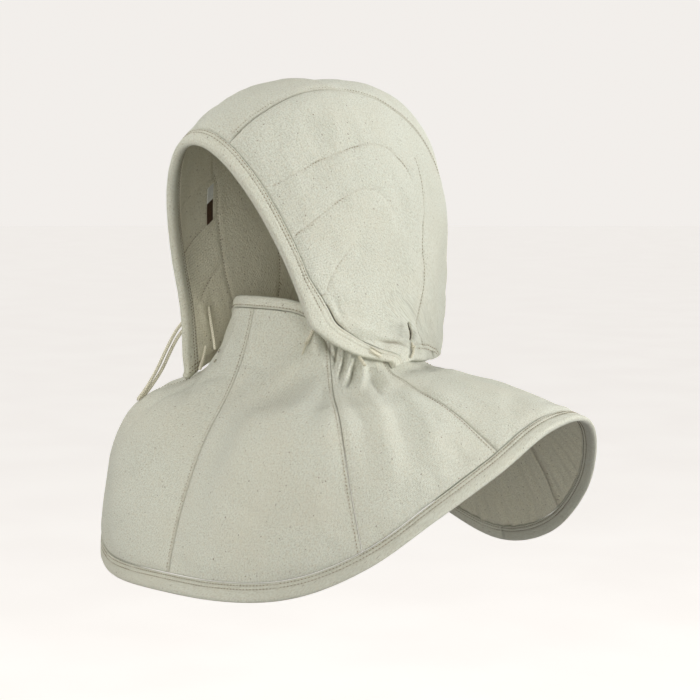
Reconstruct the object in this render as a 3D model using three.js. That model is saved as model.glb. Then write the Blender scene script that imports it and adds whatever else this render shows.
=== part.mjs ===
// Padded cloth hood laced to a standing collar with a shoulder mantle.
// Millimetres, +Z up, the wearer faces -Y and the wearer's left is +X.
// The origin is the inner face of the crown, where the top of the head bears.
import * as THREE from 'three';

// Cloth
const HOOD_PADDING = 7;
const MANTLE_PADDING = 4.5;
const BINDING_CLOTH = 1;
const SEAM_GAP = 0.35;

// Hood
// FRONT_END and BACK_END are where the brow ends and the nape starts, as shares along the hood.
const CROWN_TO_BROW_REACH = 148;
const BROW_DROP = 62;
const CROWN_TO_BACK = 168;
const BACK_DROP = 160;
const NAPE_TUCK = 34;
const FRONT_END = 0.32;
const BACK_END = 0.78;
const BACK_SQUARENESS = 2.9;
const HOOD_HEIGHT = 264;
const RIGHT_CORNER_LOWER = 20;
const REST_GAP = 1;
const REST_SOFTNESS = 3;
const CROWN_HALF_WIDTH = 104;
const FACE_CORNER_FORWARD = 64;
const HEM_MIDDLE_BACK = 77;
const LEFT_CORNER_PULL = 86;
const STRIP_HALF_WIDTH = 40;
const FACE_BINDING_WIDTH = 17;

// Collar and mantle
const NECK_SET_BACK = 17;
const COLLAR_RADIUS = 84;
const COLLAR_TOP_DROP = 200;
const NECK_RADIUS = 100;
const NECK_DROP = 286;
const MANTLE_DROP = 483;
const MANTLE_REACH = 250;
const COLLAR_BINDING_WIDTH = 12;
const HEM_BINDING_WIDTH = 18;

// Label
const LABEL_ALONG = 0.197;
const LABEL_WIDTH = 10;
const LABEL_FROM_CENTRE = 147;
const TAB_LENGTH = 16;
const PATCH_LENGTH = 22;
const LABEL_THICKNESS = 0.8;

// Laces
const LACE_DIAMETER = 3.4;
const TIE_DIAMETER = 3.4;
const LACE_SIDES = 8;
const LACE_REST_GAP = 0.5;

// How finely the cloth is faceted
const HOOD_LENGTHWISE_STEPS = 22;
const PANEL_STEPS = 16;
const STRIP_STEPS = 6;
const MANTLE_DEGREES_PER_STEP = 5;
const MANTLE_DOWN_STEPS = 12;
const ARCH_SAMPLES = 72;

// Colours
const CANVAS = 0xd6d6c6;
const CANVAS_BINDING = 0xd0d0bf;
const LACE_COLOUR = 0xcfcdb9;
const TAB_COLOUR = 0xc9cabf;
const PATCH_COLOUR = 0x4a3628;

// Arches of the hood from the face edge (along 0) over the crown to the nape hem (along 1).
// cap: height of the round top as a share of the arch, round: superellipse power of that top,
// wide: half width as a share of CROWN_HALF_WIDTH, hem: the same at the hem,
// strip: half width of the centre strip as a share of STRIP_HALF_WIDTH.
const HOOD_ARCHES = [
  { along: 0.00, cap: 1.00, round: 2.00, wide: 0.92, hem: 0.94, strip: 1.00 },
  { along: 0.12, cap: 0.75, round: 2.20, wide: 0.96, hem: 0.94, strip: 1.07 },
  { along: 0.30, cap: 0.48, round: 2.35, wide: 0.98, hem: 0.95, strip: 1.27 },
  { along: 0.42, cap: 0.60, round: 2.12, wide: 0.98, hem: 0.95, strip: 1.72 },
  { along: 0.55, cap: 0.75, round: 1.98, wide: 0.98, hem: 0.95, strip: 2.00 },
  { along: 0.70, cap: 0.92, round: 1.90, wide: 0.96, hem: 0.95, strip: 1.80 },
  { along: 0.85, cap: 1.00, round: 1.95, wide: 0.93, hem: 0.94, strip: 1.60 },
  { along: 1.00, cap: 1.00, round: 2.10, wide: 0.92, hem: 0.92, strip: 1.50 },
];

// Down-lines of the mantle by angle from the centre front, the same on both sides.
// collarDrop: the collar's top edge below the crown, as a share of MANTLE_DROP.
// neckOut and neckDrop: the inward bend at the neck, as shares of NECK_RADIUS and NECK_DROP.
// breakOut and breakDrop: the shoulder's bend, hemOut and hemDrop: the lower edge,
// as shares of MANTLE_REACH and MANTLE_DROP.
const MANTLE_LINES = [
  { angle: 0, collarDrop: 0.425, neckOut: 0.930, neckDrop: 0.940,
    breakOut: 0.715, breakDrop: 0.780, hemOut: 0.820, hemDrop: 1.000 },
  { angle: 30, collarDrop: 0.430, neckOut: 0.950, neckDrop: 0.985,
    breakOut: 0.820, breakDrop: 0.690, hemOut: 0.860, hemDrop: 0.997 },
  { angle: 45, collarDrop: 0.445, neckOut: 0.965, neckDrop: 1.015,
    breakOut: 0.860, breakDrop: 0.660, hemOut: 0.890, hemDrop: 0.975 },
  { angle: 60, collarDrop: 0.450, neckOut: 0.970, neckDrop: 1.010,
    breakOut: 0.860, breakDrop: 0.650, hemOut: 0.920, hemDrop: 0.920 },
  { angle: 75, collarDrop: 0.455, neckOut: 0.980, neckDrop: 1.000,
    breakOut: 0.840, breakDrop: 0.645, hemOut: 0.955, hemDrop: 0.835 },
  { angle: 90, collarDrop: 0.460, neckOut: 0.990, neckDrop: 0.990,
    breakOut: 0.830, breakDrop: 0.640, hemOut: 1.000, hemDrop: 0.755 },
  { angle: 105, collarDrop: 0.460, neckOut: 1.000, neckDrop: 0.985,
    breakOut: 0.840, breakDrop: 0.630, hemOut: 1.050, hemDrop: 0.680 },
  { angle: 120, collarDrop: 0.460, neckOut: 1.000, neckDrop: 0.980,
    breakOut: 0.890, breakDrop: 0.630, hemOut: 1.100, hemDrop: 0.670 },
  { angle: 135, collarDrop: 0.460, neckOut: 1.000, neckDrop: 0.980,
    breakOut: 0.930, breakDrop: 0.640, hemOut: 1.130, hemDrop: 0.740 },
  { angle: 150, collarDrop: 0.460, neckOut: 1.000, neckDrop: 0.980,
    breakOut: 0.950, breakDrop: 0.670, hemOut: 1.150, hemDrop: 0.865 },
  { angle: 165, collarDrop: 0.460, neckOut: 1.000, neckDrop: 0.980,
    breakOut: 0.950, breakDrop: 0.700, hemOut: 1.140, hemDrop: 0.975 },
  { angle: 180, collarDrop: 0.460, neckOut: 1.000, neckDrop: 0.980,
    breakOut: 0.940, breakDrop: 0.720, hemOut: 1.120, hemDrop: 1.015 },
];

// The gores of the mantle, by the angles of the seams on their two sides.
const MANTLE_GORES = [
  { name: 'mantle_front_left', from: 0, to: 55 },
  { name: 'mantle_shoulder_left', from: 55, to: 90 },
  { name: 'mantle_back_left', from: 90, to: 160 },
  { name: 'mantle_back_centre', from: 160, to: 200 },
  { name: 'mantle_back_right', from: 200, to: 270 },
  { name: 'mantle_shoulder_right', from: 270, to: 305 },
  { name: 'mantle_front_right', from: 305, to: 360 },
];

const model = new THREE.Group();

function addPiece(name, geometry, color, roughness = 0.95) {
  const mesh = new THREE.Mesh(geometry, new THREE.MeshStandardMaterial({ color, roughness, metalness: 0 }));
  mesh.name = name;
  model.add(mesh);
}

const mix = (a, b, share) => a + (b - a) * share;

function smoothStep(from, to, value) {
  const share = THREE.MathUtils.clamp((value - from) / (to - from), 0, 1);
  return share * share * (3 - 2 * share);
}

// A smooth curve through one column of a table; a mirrored table is level at both ends.
function column(table, key, name, at, mirrored = false) {
  const last = table.length - 1;
  let row = 0;
  while (row < last - 1 && at > table[row + 1][key]) row += 1;
  const share = (at - table[row][key]) / (table[row + 1][key] - table[row][key]);
  const slope = (i) => {
    if (mirrored && (i === 0 || i === last)) return 0;
    const before = table[Math.max(i - 1, 0)];
    const after = table[Math.min(i + 1, last)];
    return (after[name] - before[name]) / (after[key] - before[key]);
  };
  const span = table[row + 1][key] - table[row][key];
  const s2 = share * share;
  const s3 = s2 * share;
  return (2 * s3 - 3 * s2 + 1) * table[row][name] + (s3 - 2 * s2 + share) * span * slope(row)
    + (3 * s2 - 2 * s3) * table[row + 1][name] + (s3 - s2) * span * slope(row + 1);
}

// Centre line of the hood's outer face: a round brow, a squarer back and a straight nape.
function centreLine(along) {
  if (along < FRONT_END) {
    const radius = (CROWN_TO_BROW_REACH ** 2 + BROW_DROP ** 2) / (2 * BROW_DROP);
    const sweep = Math.asin(CROWN_TO_BROW_REACH / radius) * (1 - along / FRONT_END);
    return new THREE.Vector3(0, -radius * Math.sin(sweep), HOOD_PADDING - radius * (1 - Math.cos(sweep)));
  }
  if (along < BACK_END) {
    const turn = (Math.PI / 2) * (along - FRONT_END) / (BACK_END - FRONT_END);
    const power = 2 / BACK_SQUARENESS;
    return new THREE.Vector3(0, CROWN_TO_BACK * Math.sin(turn) ** power,
      HOOD_PADDING - BACK_DROP * (1 - Math.cos(turn) ** power));
  }
  const down = (along - BACK_END) / (1 - BACK_END);
  return new THREE.Vector3(0, CROWN_TO_BACK - NAPE_TUCK * down * down,
    mix(HOOD_PADDING - BACK_DROP, -HOOD_HEIGHT, down));
}

// Mantle: down-lines drawn as a smooth curve held by the collar top, neck, shoulder break and hem.
function downLine(angle) {
  const turn = Math.abs(((angle + 180) % 360 + 360) % 360 - 180);
  const value = (name) => column(MANTLE_LINES, 'angle', name, turn, true);
  const top = new THREE.Vector2(COLLAR_RADIUS, -value('collarDrop') * MANTLE_DROP);
  const neck = new THREE.Vector2(value('neckOut') * NECK_RADIUS, -value('neckDrop') * NECK_DROP);
  const shoulder = new THREE.Vector2(value('breakOut') * MANTLE_REACH, -value('breakDrop') * MANTLE_DROP);
  const hem = new THREE.Vector2(value('hemOut') * MANTLE_REACH, -value('hemDrop') * MANTLE_DROP);
  const middle = neck.clone().lerp(shoulder, 0.5);
  const upper = new THREE.QuadraticBezierCurve(top, neck, middle);
  const lower = new THREE.QuadraticBezierCurve(middle, shoulder, hem);
  const line = [...upper.getPoints(20), ...lower.getPoints(28).slice(1)];
  const lengths = [0];
  for (let i = 1; i < line.length; i += 1) lengths.push(lengths[i - 1] + line[i].distanceTo(line[i - 1]));
  return { line, lengths, total: lengths[lengths.length - 1] };
}

const lineCache = new Map();

function lineAt(angle) {
  const key = angle.toFixed(4);
  if (!lineCache.has(key)) lineCache.set(key, downLine(angle));
  return lineCache.get(key);
}

// How far from the neck axis the hood's outer face lies where it rests on the collar.
function restRadius(angle, height) {
  const { line } = lineAt(angle);
  const lift = HOOD_PADDING + BINDING_CLOTH + REST_GAP;
  let before = null;
  for (let i = 1; i < line.length - 1; i += 1) {
    const along = line[i + 1].clone().sub(line[i - 1]).normalize();
    const raised = new THREE.Vector2(line[i].x - along.y * lift, line[i].y + along.x * lift);
    if (raised.y <= height && before) {
      const share = (before.y - height) / (before.y - raised.y);
      return mix(before.x, raised.x, share);
    }
    before = raised;
  }
  return before.x;
}

// Moves a point of the hood out from the neck axis until the hood clears the collar.
function restOnCollar(point) {
  if (point.z > -COLLAR_TOP_DROP) return point;
  const fromNeck = new THREE.Vector2(point.x, point.y - NECK_SET_BACK);
  const radius = fromNeck.length();
  const angle = THREE.MathUtils.radToDeg(Math.atan2(fromNeck.x, -fromNeck.y));
  const onCollar = smoothStep(COLLAR_TOP_DROP, COLLAR_TOP_DROP + 20, -point.z);
  const need = restRadius(Math.abs(angle), point.z) * onCollar;
  const spare = (radius - need) / REST_SOFTNESS;
  const rested = need + REST_SOFTNESS * (spare > 20 ? spare : Math.log1p(Math.exp(spare)));
  fromNeck.multiplyScalar(rested / radius);
  return new THREE.Vector3(fromNeck.x, NECK_SET_BACK + fromNeck.y, point.z);
}

// One arch of the hood on one side (side +1 is the wearer's left), apex to hem.
const archCache = new Map();

function hoodArch(along, side) {
  const key = `${along.toFixed(6)}:${side}`;
  if (archCache.has(key)) return archCache.get(key);
  const apex = centreLine(along);
  const cap = column(HOOD_ARCHES, 'along', 'cap', along);
  const round = column(HOOD_ARCHES, 'along', 'round', along);
  const wide = column(HOOD_ARCHES, 'along', 'wide', along) * CROWN_HALF_WIDTH;
  const hemWide = column(HOOD_ARCHES, 'along', 'hem', along) * CROWN_HALF_WIDTH;
  const hemY = mix(-FACE_CORNER_FORWARD, HEM_MIDDLE_BACK, along);
  const lower = side < 0 ? RIGHT_CORNER_LOWER * Math.max(0, 1 - along / 0.5) ** 2 : 0;
  const hem = new THREE.Vector3(0, hemY, -HOOD_HEIGHT - lower);
  const points = [];
  for (let i = 0; i <= ARCH_SAMPLES; i += 1) {
    const turn = (Math.PI / 2) * i / ARCH_SAMPLES;
    const height = cap * (1 - Math.cos(turn) ** (2 / round));
    const out = Math.sin(turn) ** (2 / round);
    points.push({ out, height });
  }
  const straight = Math.round(ARCH_SAMPLES / 3);
  for (let i = 1; i <= straight; i += 1) {
    points.push({ out: 1, height: mix(cap, 1, i / straight) });
  }
  const line = points.map(({ out, height }) => {
    const point = apex.clone().lerp(hem, height);
    point.y += side > 0 ? LEFT_CORNER_PULL * smoothStep(0.8, 0.98, height) * (1 - along) : 0;
    point.x = side * out * mix(wide, hemWide, height ** 3);
    return restOnCollar(point);
  });
  const lengths = [0];
  for (let i = 1; i < line.length; i += 1) {
    lengths.push(lengths[i - 1] + line[i].distanceTo(line[i - 1]));
  }
  const arch = { line, lengths, total: lengths[lengths.length - 1] };
  archCache.set(key, arch);
  return arch;
}

function hoodPoint(along, side, distance) {
  const { line, lengths, total } = hoodArch(THREE.MathUtils.clamp(along, 0, 1), side);
  if (distance < 0) return hoodPoint(along, -side, -distance);
  const at = Math.min(distance, total);
  let i = 1;
  while (i < lengths.length - 1 && lengths[i] < at) i += 1;
  const share = (at - lengths[i - 1]) / Math.max(lengths[i] - lengths[i - 1], 1e-9);
  return line[i - 1].clone().lerp(line[i], share);
}

// A padded wall over a grid of points: point(u, v) and its outward normal give the outer face,
// and the inner face lies one thickness behind it.
function paddedWall(columns, rows, outer, inward, closed = false) {
  const count = closed ? columns : columns + 1;
  const positions = [];
  for (const depth of [0, 1]) {
    for (let i = 0; i < count; i += 1) {
      for (let j = 0; j <= rows; j += 1) {
        const point = outer(i / columns, j / rows);
        if (depth) point.add(inward(i / columns, j / rows));
        positions.push(point.x, point.y, point.z);
      }
    }
  }
  const index = (depth, i, j) => depth * count * (rows + 1) + (i % count) * (rows + 1) + j;
  const triangles = [];
  const quad = (a, b, c, d) => triangles.push(a, b, c, a, c, d);
  for (let i = 0; i < columns; i += 1) {
    for (let j = 0; j < rows; j += 1) {
      quad(index(0, i, j), index(0, i + 1, j), index(0, i + 1, j + 1), index(0, i, j + 1));
      quad(index(1, i, j), index(1, i, j + 1), index(1, i + 1, j + 1), index(1, i + 1, j));
    }
    quad(index(0, i, 0), index(1, i, 0), index(1, i + 1, 0), index(0, i + 1, 0));
    quad(index(0, i, rows), index(0, i + 1, rows), index(1, i + 1, rows), index(1, i, rows));
  }
  if (!closed) {
    for (let j = 0; j < rows; j += 1) {
      quad(index(0, 0, j), index(0, 0, j + 1), index(1, 0, j + 1), index(1, 0, j));
      quad(index(0, columns, j), index(1, columns, j), index(1, columns, j + 1), index(0, columns, j + 1));
    }
  }
  const geometry = new THREE.BufferGeometry();
  geometry.setAttribute('position', new THREE.Float32BufferAttribute(positions, 3));
  geometry.setIndex(facesOut(positions, triangles));
  geometry.computeVertexNormals();
  return geometry;
}

// Turns every face round where the solid would come out inside out.
function facesOut(positions, triangles) {
  const corner = (i) => new THREE.Vector3().fromArray(positions, i * 3);
  let volume = 0;
  for (let i = 0; i < triangles.length; i += 3) {
    volume += corner(triangles[i]).dot(corner(triangles[i + 1]).cross(corner(triangles[i + 2])));
  }
  if (volume > 0) return triangles;
  const turned = [];
  for (let i = 0; i < triangles.length; i += 3) {
    turned.push(triangles[i], triangles[i + 2], triangles[i + 1]);
  }
  return turned;
}

// Hood: one point of the outer face, at a distance from the centre line towards the wearer's left.
const seamDistance = (along) => column(HOOD_ARCHES, 'along', 'strip', along) * STRIP_HALF_WIDTH;

function hoodFace(along, distance) {
  const side = distance < 0 ? -1 : 1;
  return hoodPoint(along, side, Math.abs(distance));
}

// Outward normal of a face given by two small steps along it.
function normalOf(centre, stepOne, stepTwo, towards) {
  const normal = stepOne.sub(centre).cross(stepTwo.sub(centre)).normalize();
  return normal.dot(towards) < 0 ? normal.negate() : normal;
}

const HOOD_MIDDLE = new THREE.Vector3(0, (CROWN_TO_BACK - CROWN_TO_BROW_REACH) / 2, -HOOD_HEIGHT / 2);

function hoodNormal(along, distance) {
  const centre = hoodFace(along, distance);
  const alongStep = along < 0.5 ? 0.01 : -0.01;
  const acrossStep = distance < 0 ? 1.5 : -1.5;
  return normalOf(centre, hoodFace(along + alongStep, distance), hoodFace(along, distance + acrossStep),
    centre.clone().sub(HOOD_MIDDLE));
}

// The share along the arches that the face binding covers on one line of the hood.
function bindingShare(distanceAt) {
  const probe = 0.03;
  const length = hoodFace(0, distanceAt(0)).distanceTo(hoodFace(probe, distanceAt(probe)));
  return Math.min(probe * FACE_BINDING_WIDTH / length, 0.6);
}

// A strip or panel of the hood between two lines that run from the face edge to the nape.
function hoodPanel(columns, lineFrom, lineTo) {
  const place = (u, v) => {
    const distanceAt = (along) => mix(lineFrom(along), lineTo(along), u);
    const start = bindingShare(distanceAt) * (1 + 2 * SEAM_GAP / FACE_BINDING_WIDTH);
    const along = mix(start, 1, v);
    return [along, distanceAt(along)];
  };
  const outer = (u, v) => hoodFace(...place(u, v));
  const inward = (u, v) => hoodNormal(...place(u, v)).multiplyScalar(-HOOD_PADDING);
  return paddedWall(columns, HOOD_LENGTHWISE_STEPS, outer, inward);
}

const hemDistance = (side) => (along) => hoodArch(along, side).total * side;
const seamLine = (side, inset) => (along) => side * (seamDistance(along) + inset);

addPiece('hood_left_panel', hoodPanel(PANEL_STEPS, seamLine(1, SEAM_GAP / 2), hemDistance(1)), CANVAS);
addPiece('hood_right_panel', hoodPanel(PANEL_STEPS, seamLine(-1, SEAM_GAP / 2), hemDistance(-1)), CANVAS);
addPiece('hood_centre_strip',
  hoodPanel(STRIP_STEPS, seamLine(-1, -SEAM_GAP / 2), seamLine(1, -SEAM_GAP / 2)), CANVAS);

// A binding folded round an edge: a band of cloth with a round nose.
// edge(u, v) gives the middle of the padding and its outward normal,
// v from the nose (0) to the stitching (1).
const NOSE_ROWS = [0, 0.06, 0.22, 0.6, 1];

function foldedBinding(columns, padding, edge, closed = false) {
  const halfThickness = padding / 2 + BINDING_CLOTH;
  const thicknessAt = (v) => halfThickness * Math.sqrt(1 - (1 - Math.min(v / 0.22, 1)) ** 2 * 0.8);
  const rowAt = (v) => NOSE_ROWS[Math.round(v * (NOSE_ROWS.length - 1))];
  const outer = (u, v) => {
    const { middle, normal } = edge(u, rowAt(v));
    return middle.addScaledVector(normal, thicknessAt(rowAt(v)));
  };
  const inward = (u, v) => edge(u, rowAt(v)).normal.multiplyScalar(-2 * thicknessAt(rowAt(v)));
  return paddedWall(columns, NOSE_ROWS.length - 1, outer, inward, closed);
}

// The binding's columns follow those of the right panel, the centre strip and the left panel.
const BINDING_COLUMNS = 2 * PANEL_STEPS + STRIP_STEPS;

function bindingLine(column) {
  if (column < PANEL_STEPS) {
    return (along) => mix(hemDistance(-1)(along), seamLine(-1, 0)(along), column / PANEL_STEPS);
  }
  if (column <= PANEL_STEPS + STRIP_STEPS) {
    const across = (column - PANEL_STEPS) / STRIP_STEPS;
    return (along) => mix(seamLine(-1, 0)(along), seamLine(1, 0)(along), across);
  }
  const share = (column - PANEL_STEPS - STRIP_STEPS) / PANEL_STEPS;
  return (along) => mix(seamLine(1, 0)(along), hemDistance(1)(along), share);
}

function faceBindingEdge(u, v) {
  const distanceAt = bindingLine(Math.round(u * BINDING_COLUMNS));
  const along = v * bindingShare(distanceAt);
  const normal = hoodNormal(along, distanceAt(along));
  return { middle: hoodFace(along, distanceAt(along)).addScaledVector(normal, -HOOD_PADDING / 2), normal };
}

addPiece('face_binding', foldedBinding(BINDING_COLUMNS, HOOD_PADDING, faceBindingEdge), CANVAS_BINDING);

// Mantle: one point of the outer face, at an angle and a distance down from the collar top.
function mantlePoint(angle, distance) {
  const { line, lengths, total } = lineAt(angle);
  const at = THREE.MathUtils.clamp(distance, 0, total);
  let i = 1;
  while (i < lengths.length - 1 && lengths[i] < at) i += 1;
  const share = (at - lengths[i - 1]) / (lengths[i] - lengths[i - 1]);
  const place = line[i - 1].clone().lerp(line[i], share);
  const turn = THREE.MathUtils.degToRad(angle);
  return new THREE.Vector3(place.x * Math.sin(turn), NECK_SET_BACK - place.x * Math.cos(turn), place.y);
}

const mantleLength = (angle) => lineAt(angle).total;

function mantleNormal(angle, distance) {
  const total = mantleLength(angle);
  const down = distance < total / 2 ? 2 : -2;
  const centre = mantlePoint(angle, distance);
  const turn = THREE.MathUtils.degToRad(angle);
  return normalOf(centre, mantlePoint(angle + 1, distance), mantlePoint(angle, distance + down),
    new THREE.Vector3(Math.sin(turn), -Math.cos(turn), 1));
}

// A gore between two seams, from below the collar binding to above the hem binding.
function gore(from, to) {
  const columns = Math.round((to - from) / MANTLE_DEGREES_PER_STEP);
  const place = (u, v) => {
    const angle = mix(from, to, u);
    const start = COLLAR_BINDING_WIDTH + 2 * SEAM_GAP;
    const distance = mix(start, mantleLength(angle) - HEM_BINDING_WIDTH - 2 * SEAM_GAP, v);
    return [angle, distance];
  };
  const seamInset = (u, v) => {
    const [angle, distance] = place(u, v);
    if (u > 0 && u < 1) return mantlePoint(angle, distance);
    const point = mantlePoint(angle, distance);
    const inside = mantlePoint(angle + (u === 0 ? 0.5 : -0.5), distance).sub(point).normalize();
    return point.addScaledVector(inside, SEAM_GAP / 2);
  };
  const inward = (u, v) => mantleNormal(...place(u, v)).multiplyScalar(-MANTLE_PADDING);
  return paddedWall(columns, MANTLE_DOWN_STEPS, seamInset, inward);
}

for (const { name, from, to } of MANTLE_GORES) addPiece(name, gore(from, to), CANVAS);

function mantleEdge(distanceAt) {
  return (u, v) => {
    const angle = 360 * u;
    const distance = distanceAt(angle, v);
    const normal = mantleNormal(angle, distance);
    return { middle: mantlePoint(angle, distance).addScaledVector(normal, -MANTLE_PADDING / 2), normal };
  };
}

const MANTLE_COLUMNS = 360 / MANTLE_DEGREES_PER_STEP;
addPiece('collar_binding', foldedBinding(MANTLE_COLUMNS / 2, MANTLE_PADDING,
  mantleEdge((angle, v) => v * COLLAR_BINDING_WIDTH), true), CANVAS_BINDING);
addPiece('mantle_binding', foldedBinding(MANTLE_COLUMNS, MANTLE_PADDING,
  mantleEdge((angle, v) => mantleLength(angle) - v * HEM_BINDING_WIDTH), true), CANVAS_BINDING);

// Label: a bare pale tab and a bare brown patch sewn to the lining of the right panel.
function liningPatch(middleAlong, width, distanceFrom, length) {
  const probe = 0.02;
  const reach = (distance) => hoodFace(middleAlong - probe, -distance)
    .distanceTo(hoodFace(middleAlong + probe, -distance));
  const place = (u, v) => {
    const distance = distanceFrom + v * length;
    return [middleAlong + (u - 0.5) * width * 2 * probe / reach(distance), -distance];
  };
  const onLining = (u, v) => hoodFace(...place(u, v))
    .addScaledVector(hoodNormal(...place(u, v)), -HOOD_PADDING - 2 * SEAM_GAP);
  const inward = (u, v) => hoodNormal(...place(u, v)).multiplyScalar(-LABEL_THICKNESS);
  return paddedWall(2, 4, onLining, inward);
}

addPiece('label_tab', liningPatch(LABEL_ALONG, LABEL_WIDTH, LABEL_FROM_CENTRE, TAB_LENGTH), TAB_COLOUR);
addPiece('label_patch', liningPatch(LABEL_ALONG, LABEL_WIDTH,
  LABEL_FROM_CENTRE + TAB_LENGTH + SEAM_GAP, PATCH_LENGTH), PATCH_COLOUR);

// Laces and ties: round cotton cord.
function cord(points, diameter, steps) {
  const section = new THREE.Shape();
  for (let i = 0; i < LACE_SIDES; i += 1) {
    const turn = 2 * Math.PI * i / LACE_SIDES;
    const [x, y] = [Math.cos(turn) * diameter / 2, Math.sin(turn) * diameter / 2];
    if (i === 0) section.moveTo(x, y);
    else section.lineTo(x, y);
  }
  section.closePath();
  const extrudePath = new THREE.CatmullRomCurve3(points.map((point) => new THREE.Vector3(...point)));
  return new THREE.ExtrudeGeometry(section, { extrudePath, steps, bevelEnabled: false });
}

// Laces on the left lie on the collar: angle round the neck and distance down from the collar top.
const LEFT_LACES = [
  { name: 'lace_left_front', route: [[46.2, 14], [45.2, 20], [43, 29], [40, 42]] },
  { name: 'lace_left_back', route: [[69.8, 46], [70.6, 51], [71.5, 57]] },
];

for (const { name, route } of LEFT_LACES) {
  const lift = LACE_DIAMETER / 2 + LACE_REST_GAP;
  const points = route.map(([angle, distance]) => mantlePoint(angle, distance)
    .addScaledVector(mantleNormal(angle, distance), lift).toArray());
  addPiece(name, cord(points, LACE_DIAMETER, 8), LACE_COLOUR);
}

// Laces on the right run from the lining to the collar.
const RIGHT_LACES = [
  { name: 'lace_right_upper',
    route: [[-89.6, -52.3, -220.6], [-84.5, -54, -234], [-77, -56.6, -251], [-71.2, -59, -264.2]] },
  { name: 'lace_right_lower',
    route: [[-87.4, -57.6, -260], [-83.5, -63, -268], [-78, -70.5, -276], [-72.3, -78.8, -282.9]] },
];

for (const { name, route } of RIGHT_LACES) addPiece(name, cord(route, LACE_DIAMETER, 8), LACE_COLOUR);

// Two loose tie strands that leave the right panel and end on the mantle's shoulder.
const TIES = [
  { name: 'tie_upper',
    route: [[-100.2, -69.9, -232.9], [-102, -71.2, -233.8], [-104, -74.2, -236.7], [-107.5, -80.6, -245.7],
      [-111, -89.6, -262.7], [-115, -98.8, -282.8], [-119.5, -108.3, -300.8], [-124, -118.6, -315.4]] },
  { name: 'tie_lower',
    route: [[-100.0, -69.3, -241.4], [-101.9, -70.8, -242.4], [-104, -75.1, -245.8], [-107.5, -79.4, -253.4],
      [-111, -85.1, -266.1], [-115, -93.7, -285.2], [-120.5, -104, -302.6], [-126.4, -114.2, -317.4]] },
];

for (const { name, route } of TIES) addPiece(name, cord(route, TIE_DIAMETER, 16), LACE_COLOUR);

export default model;
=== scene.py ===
import math

import bpy
import numpy as np
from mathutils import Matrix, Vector


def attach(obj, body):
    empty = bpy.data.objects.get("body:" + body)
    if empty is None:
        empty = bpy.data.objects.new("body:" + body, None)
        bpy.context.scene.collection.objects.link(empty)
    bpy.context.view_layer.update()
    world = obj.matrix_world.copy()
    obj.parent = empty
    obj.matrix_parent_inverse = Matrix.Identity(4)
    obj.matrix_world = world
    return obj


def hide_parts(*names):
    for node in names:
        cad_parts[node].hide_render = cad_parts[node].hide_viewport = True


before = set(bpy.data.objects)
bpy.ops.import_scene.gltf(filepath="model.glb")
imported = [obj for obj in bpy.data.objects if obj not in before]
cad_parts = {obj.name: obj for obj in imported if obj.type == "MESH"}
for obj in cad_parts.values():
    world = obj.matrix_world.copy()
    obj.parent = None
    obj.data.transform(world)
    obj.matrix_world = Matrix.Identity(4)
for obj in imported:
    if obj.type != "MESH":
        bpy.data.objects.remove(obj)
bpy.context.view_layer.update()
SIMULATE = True

MM = 0.001

# Camera: at the left front of the wearer, a little above the level of the object's middle
CAMERA_AZIMUTH = math.radians(47.0)
CAMERA_ELEVATION = math.radians(5.0)
CAMERA_DISTANCE = 2.2
CAMERA_LENS = 113.14
CAMERA_SENSOR = 36.0
CAMERA_SEES = (0.1, 30.0)
PICTURE_MIDDLE = Vector((0.0390, 0.02435, -0.2620))


def make_camera():
    data = bpy.data.cameras.new("camera")
    data.lens = CAMERA_LENS
    data.sensor_width = CAMERA_SENSOR
    data.clip_start, data.clip_end = CAMERA_SEES
    camera = bpy.data.objects.new("camera", data)
    level = math.cos(CAMERA_ELEVATION)
    back = Vector((math.sin(CAMERA_AZIMUTH) * level, -math.cos(CAMERA_AZIMUTH) * level,
                   math.sin(CAMERA_ELEVATION)))
    camera.location = PICTURE_MIDDLE + CAMERA_DISTANCE * back
    camera.rotation_euler = back.to_track_quat("Z", "Y").to_euler()
    bpy.context.scene.collection.objects.link(camera)
    bpy.context.scene.camera = camera


make_camera()

# Sizes of the pattern, in millimetres
HOOD_PADDING = 7.0
MANTLE_PADDING = 4.5
BINDING_CLOTH = 1.0
SEAM_GAP = 0.35
REST_GAP = 1.0
REST_SOFTNESS = 3.0
REST_START = 20.0
FAR_ENOUGH = 20.0
CROWN_TO_BROW_REACH = 148.0
BROW_DROP = 62.0
CROWN_TO_BACK = 168.0
BACK_DROP = 160.0
NAPE_TUCK = 34.0
FRONT_END = 0.32
BACK_END = 0.78
BACK_SQUARENESS = 2.9
HOOD_HEIGHT = 264.0
RIGHT_CORNER_LOWER = 20.0
CROWN_HALF_WIDTH = 104.0
FACE_CORNER_FORWARD = 64.0
HEM_MIDDLE_BACK = 77.0
LEFT_CORNER_PULL = 86.0
CORNER_PULL_FROM = (0.8, 0.98)
STRIP_HALF_WIDTH = 40.0
FACE_BINDING_WIDTH = 17.0
NECK_SET_BACK = 17.0
COLLAR_RADIUS = 84.0
COLLAR_TOP_DROP = 200.0
NECK_RADIUS = 100.0
NECK_DROP = 286.0
MANTLE_DROP = 483.0
MANTLE_REACH = 250.0
COLLAR_BINDING_WIDTH = 12.0
HEM_BINDING_WIDTH = 18.0

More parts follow.
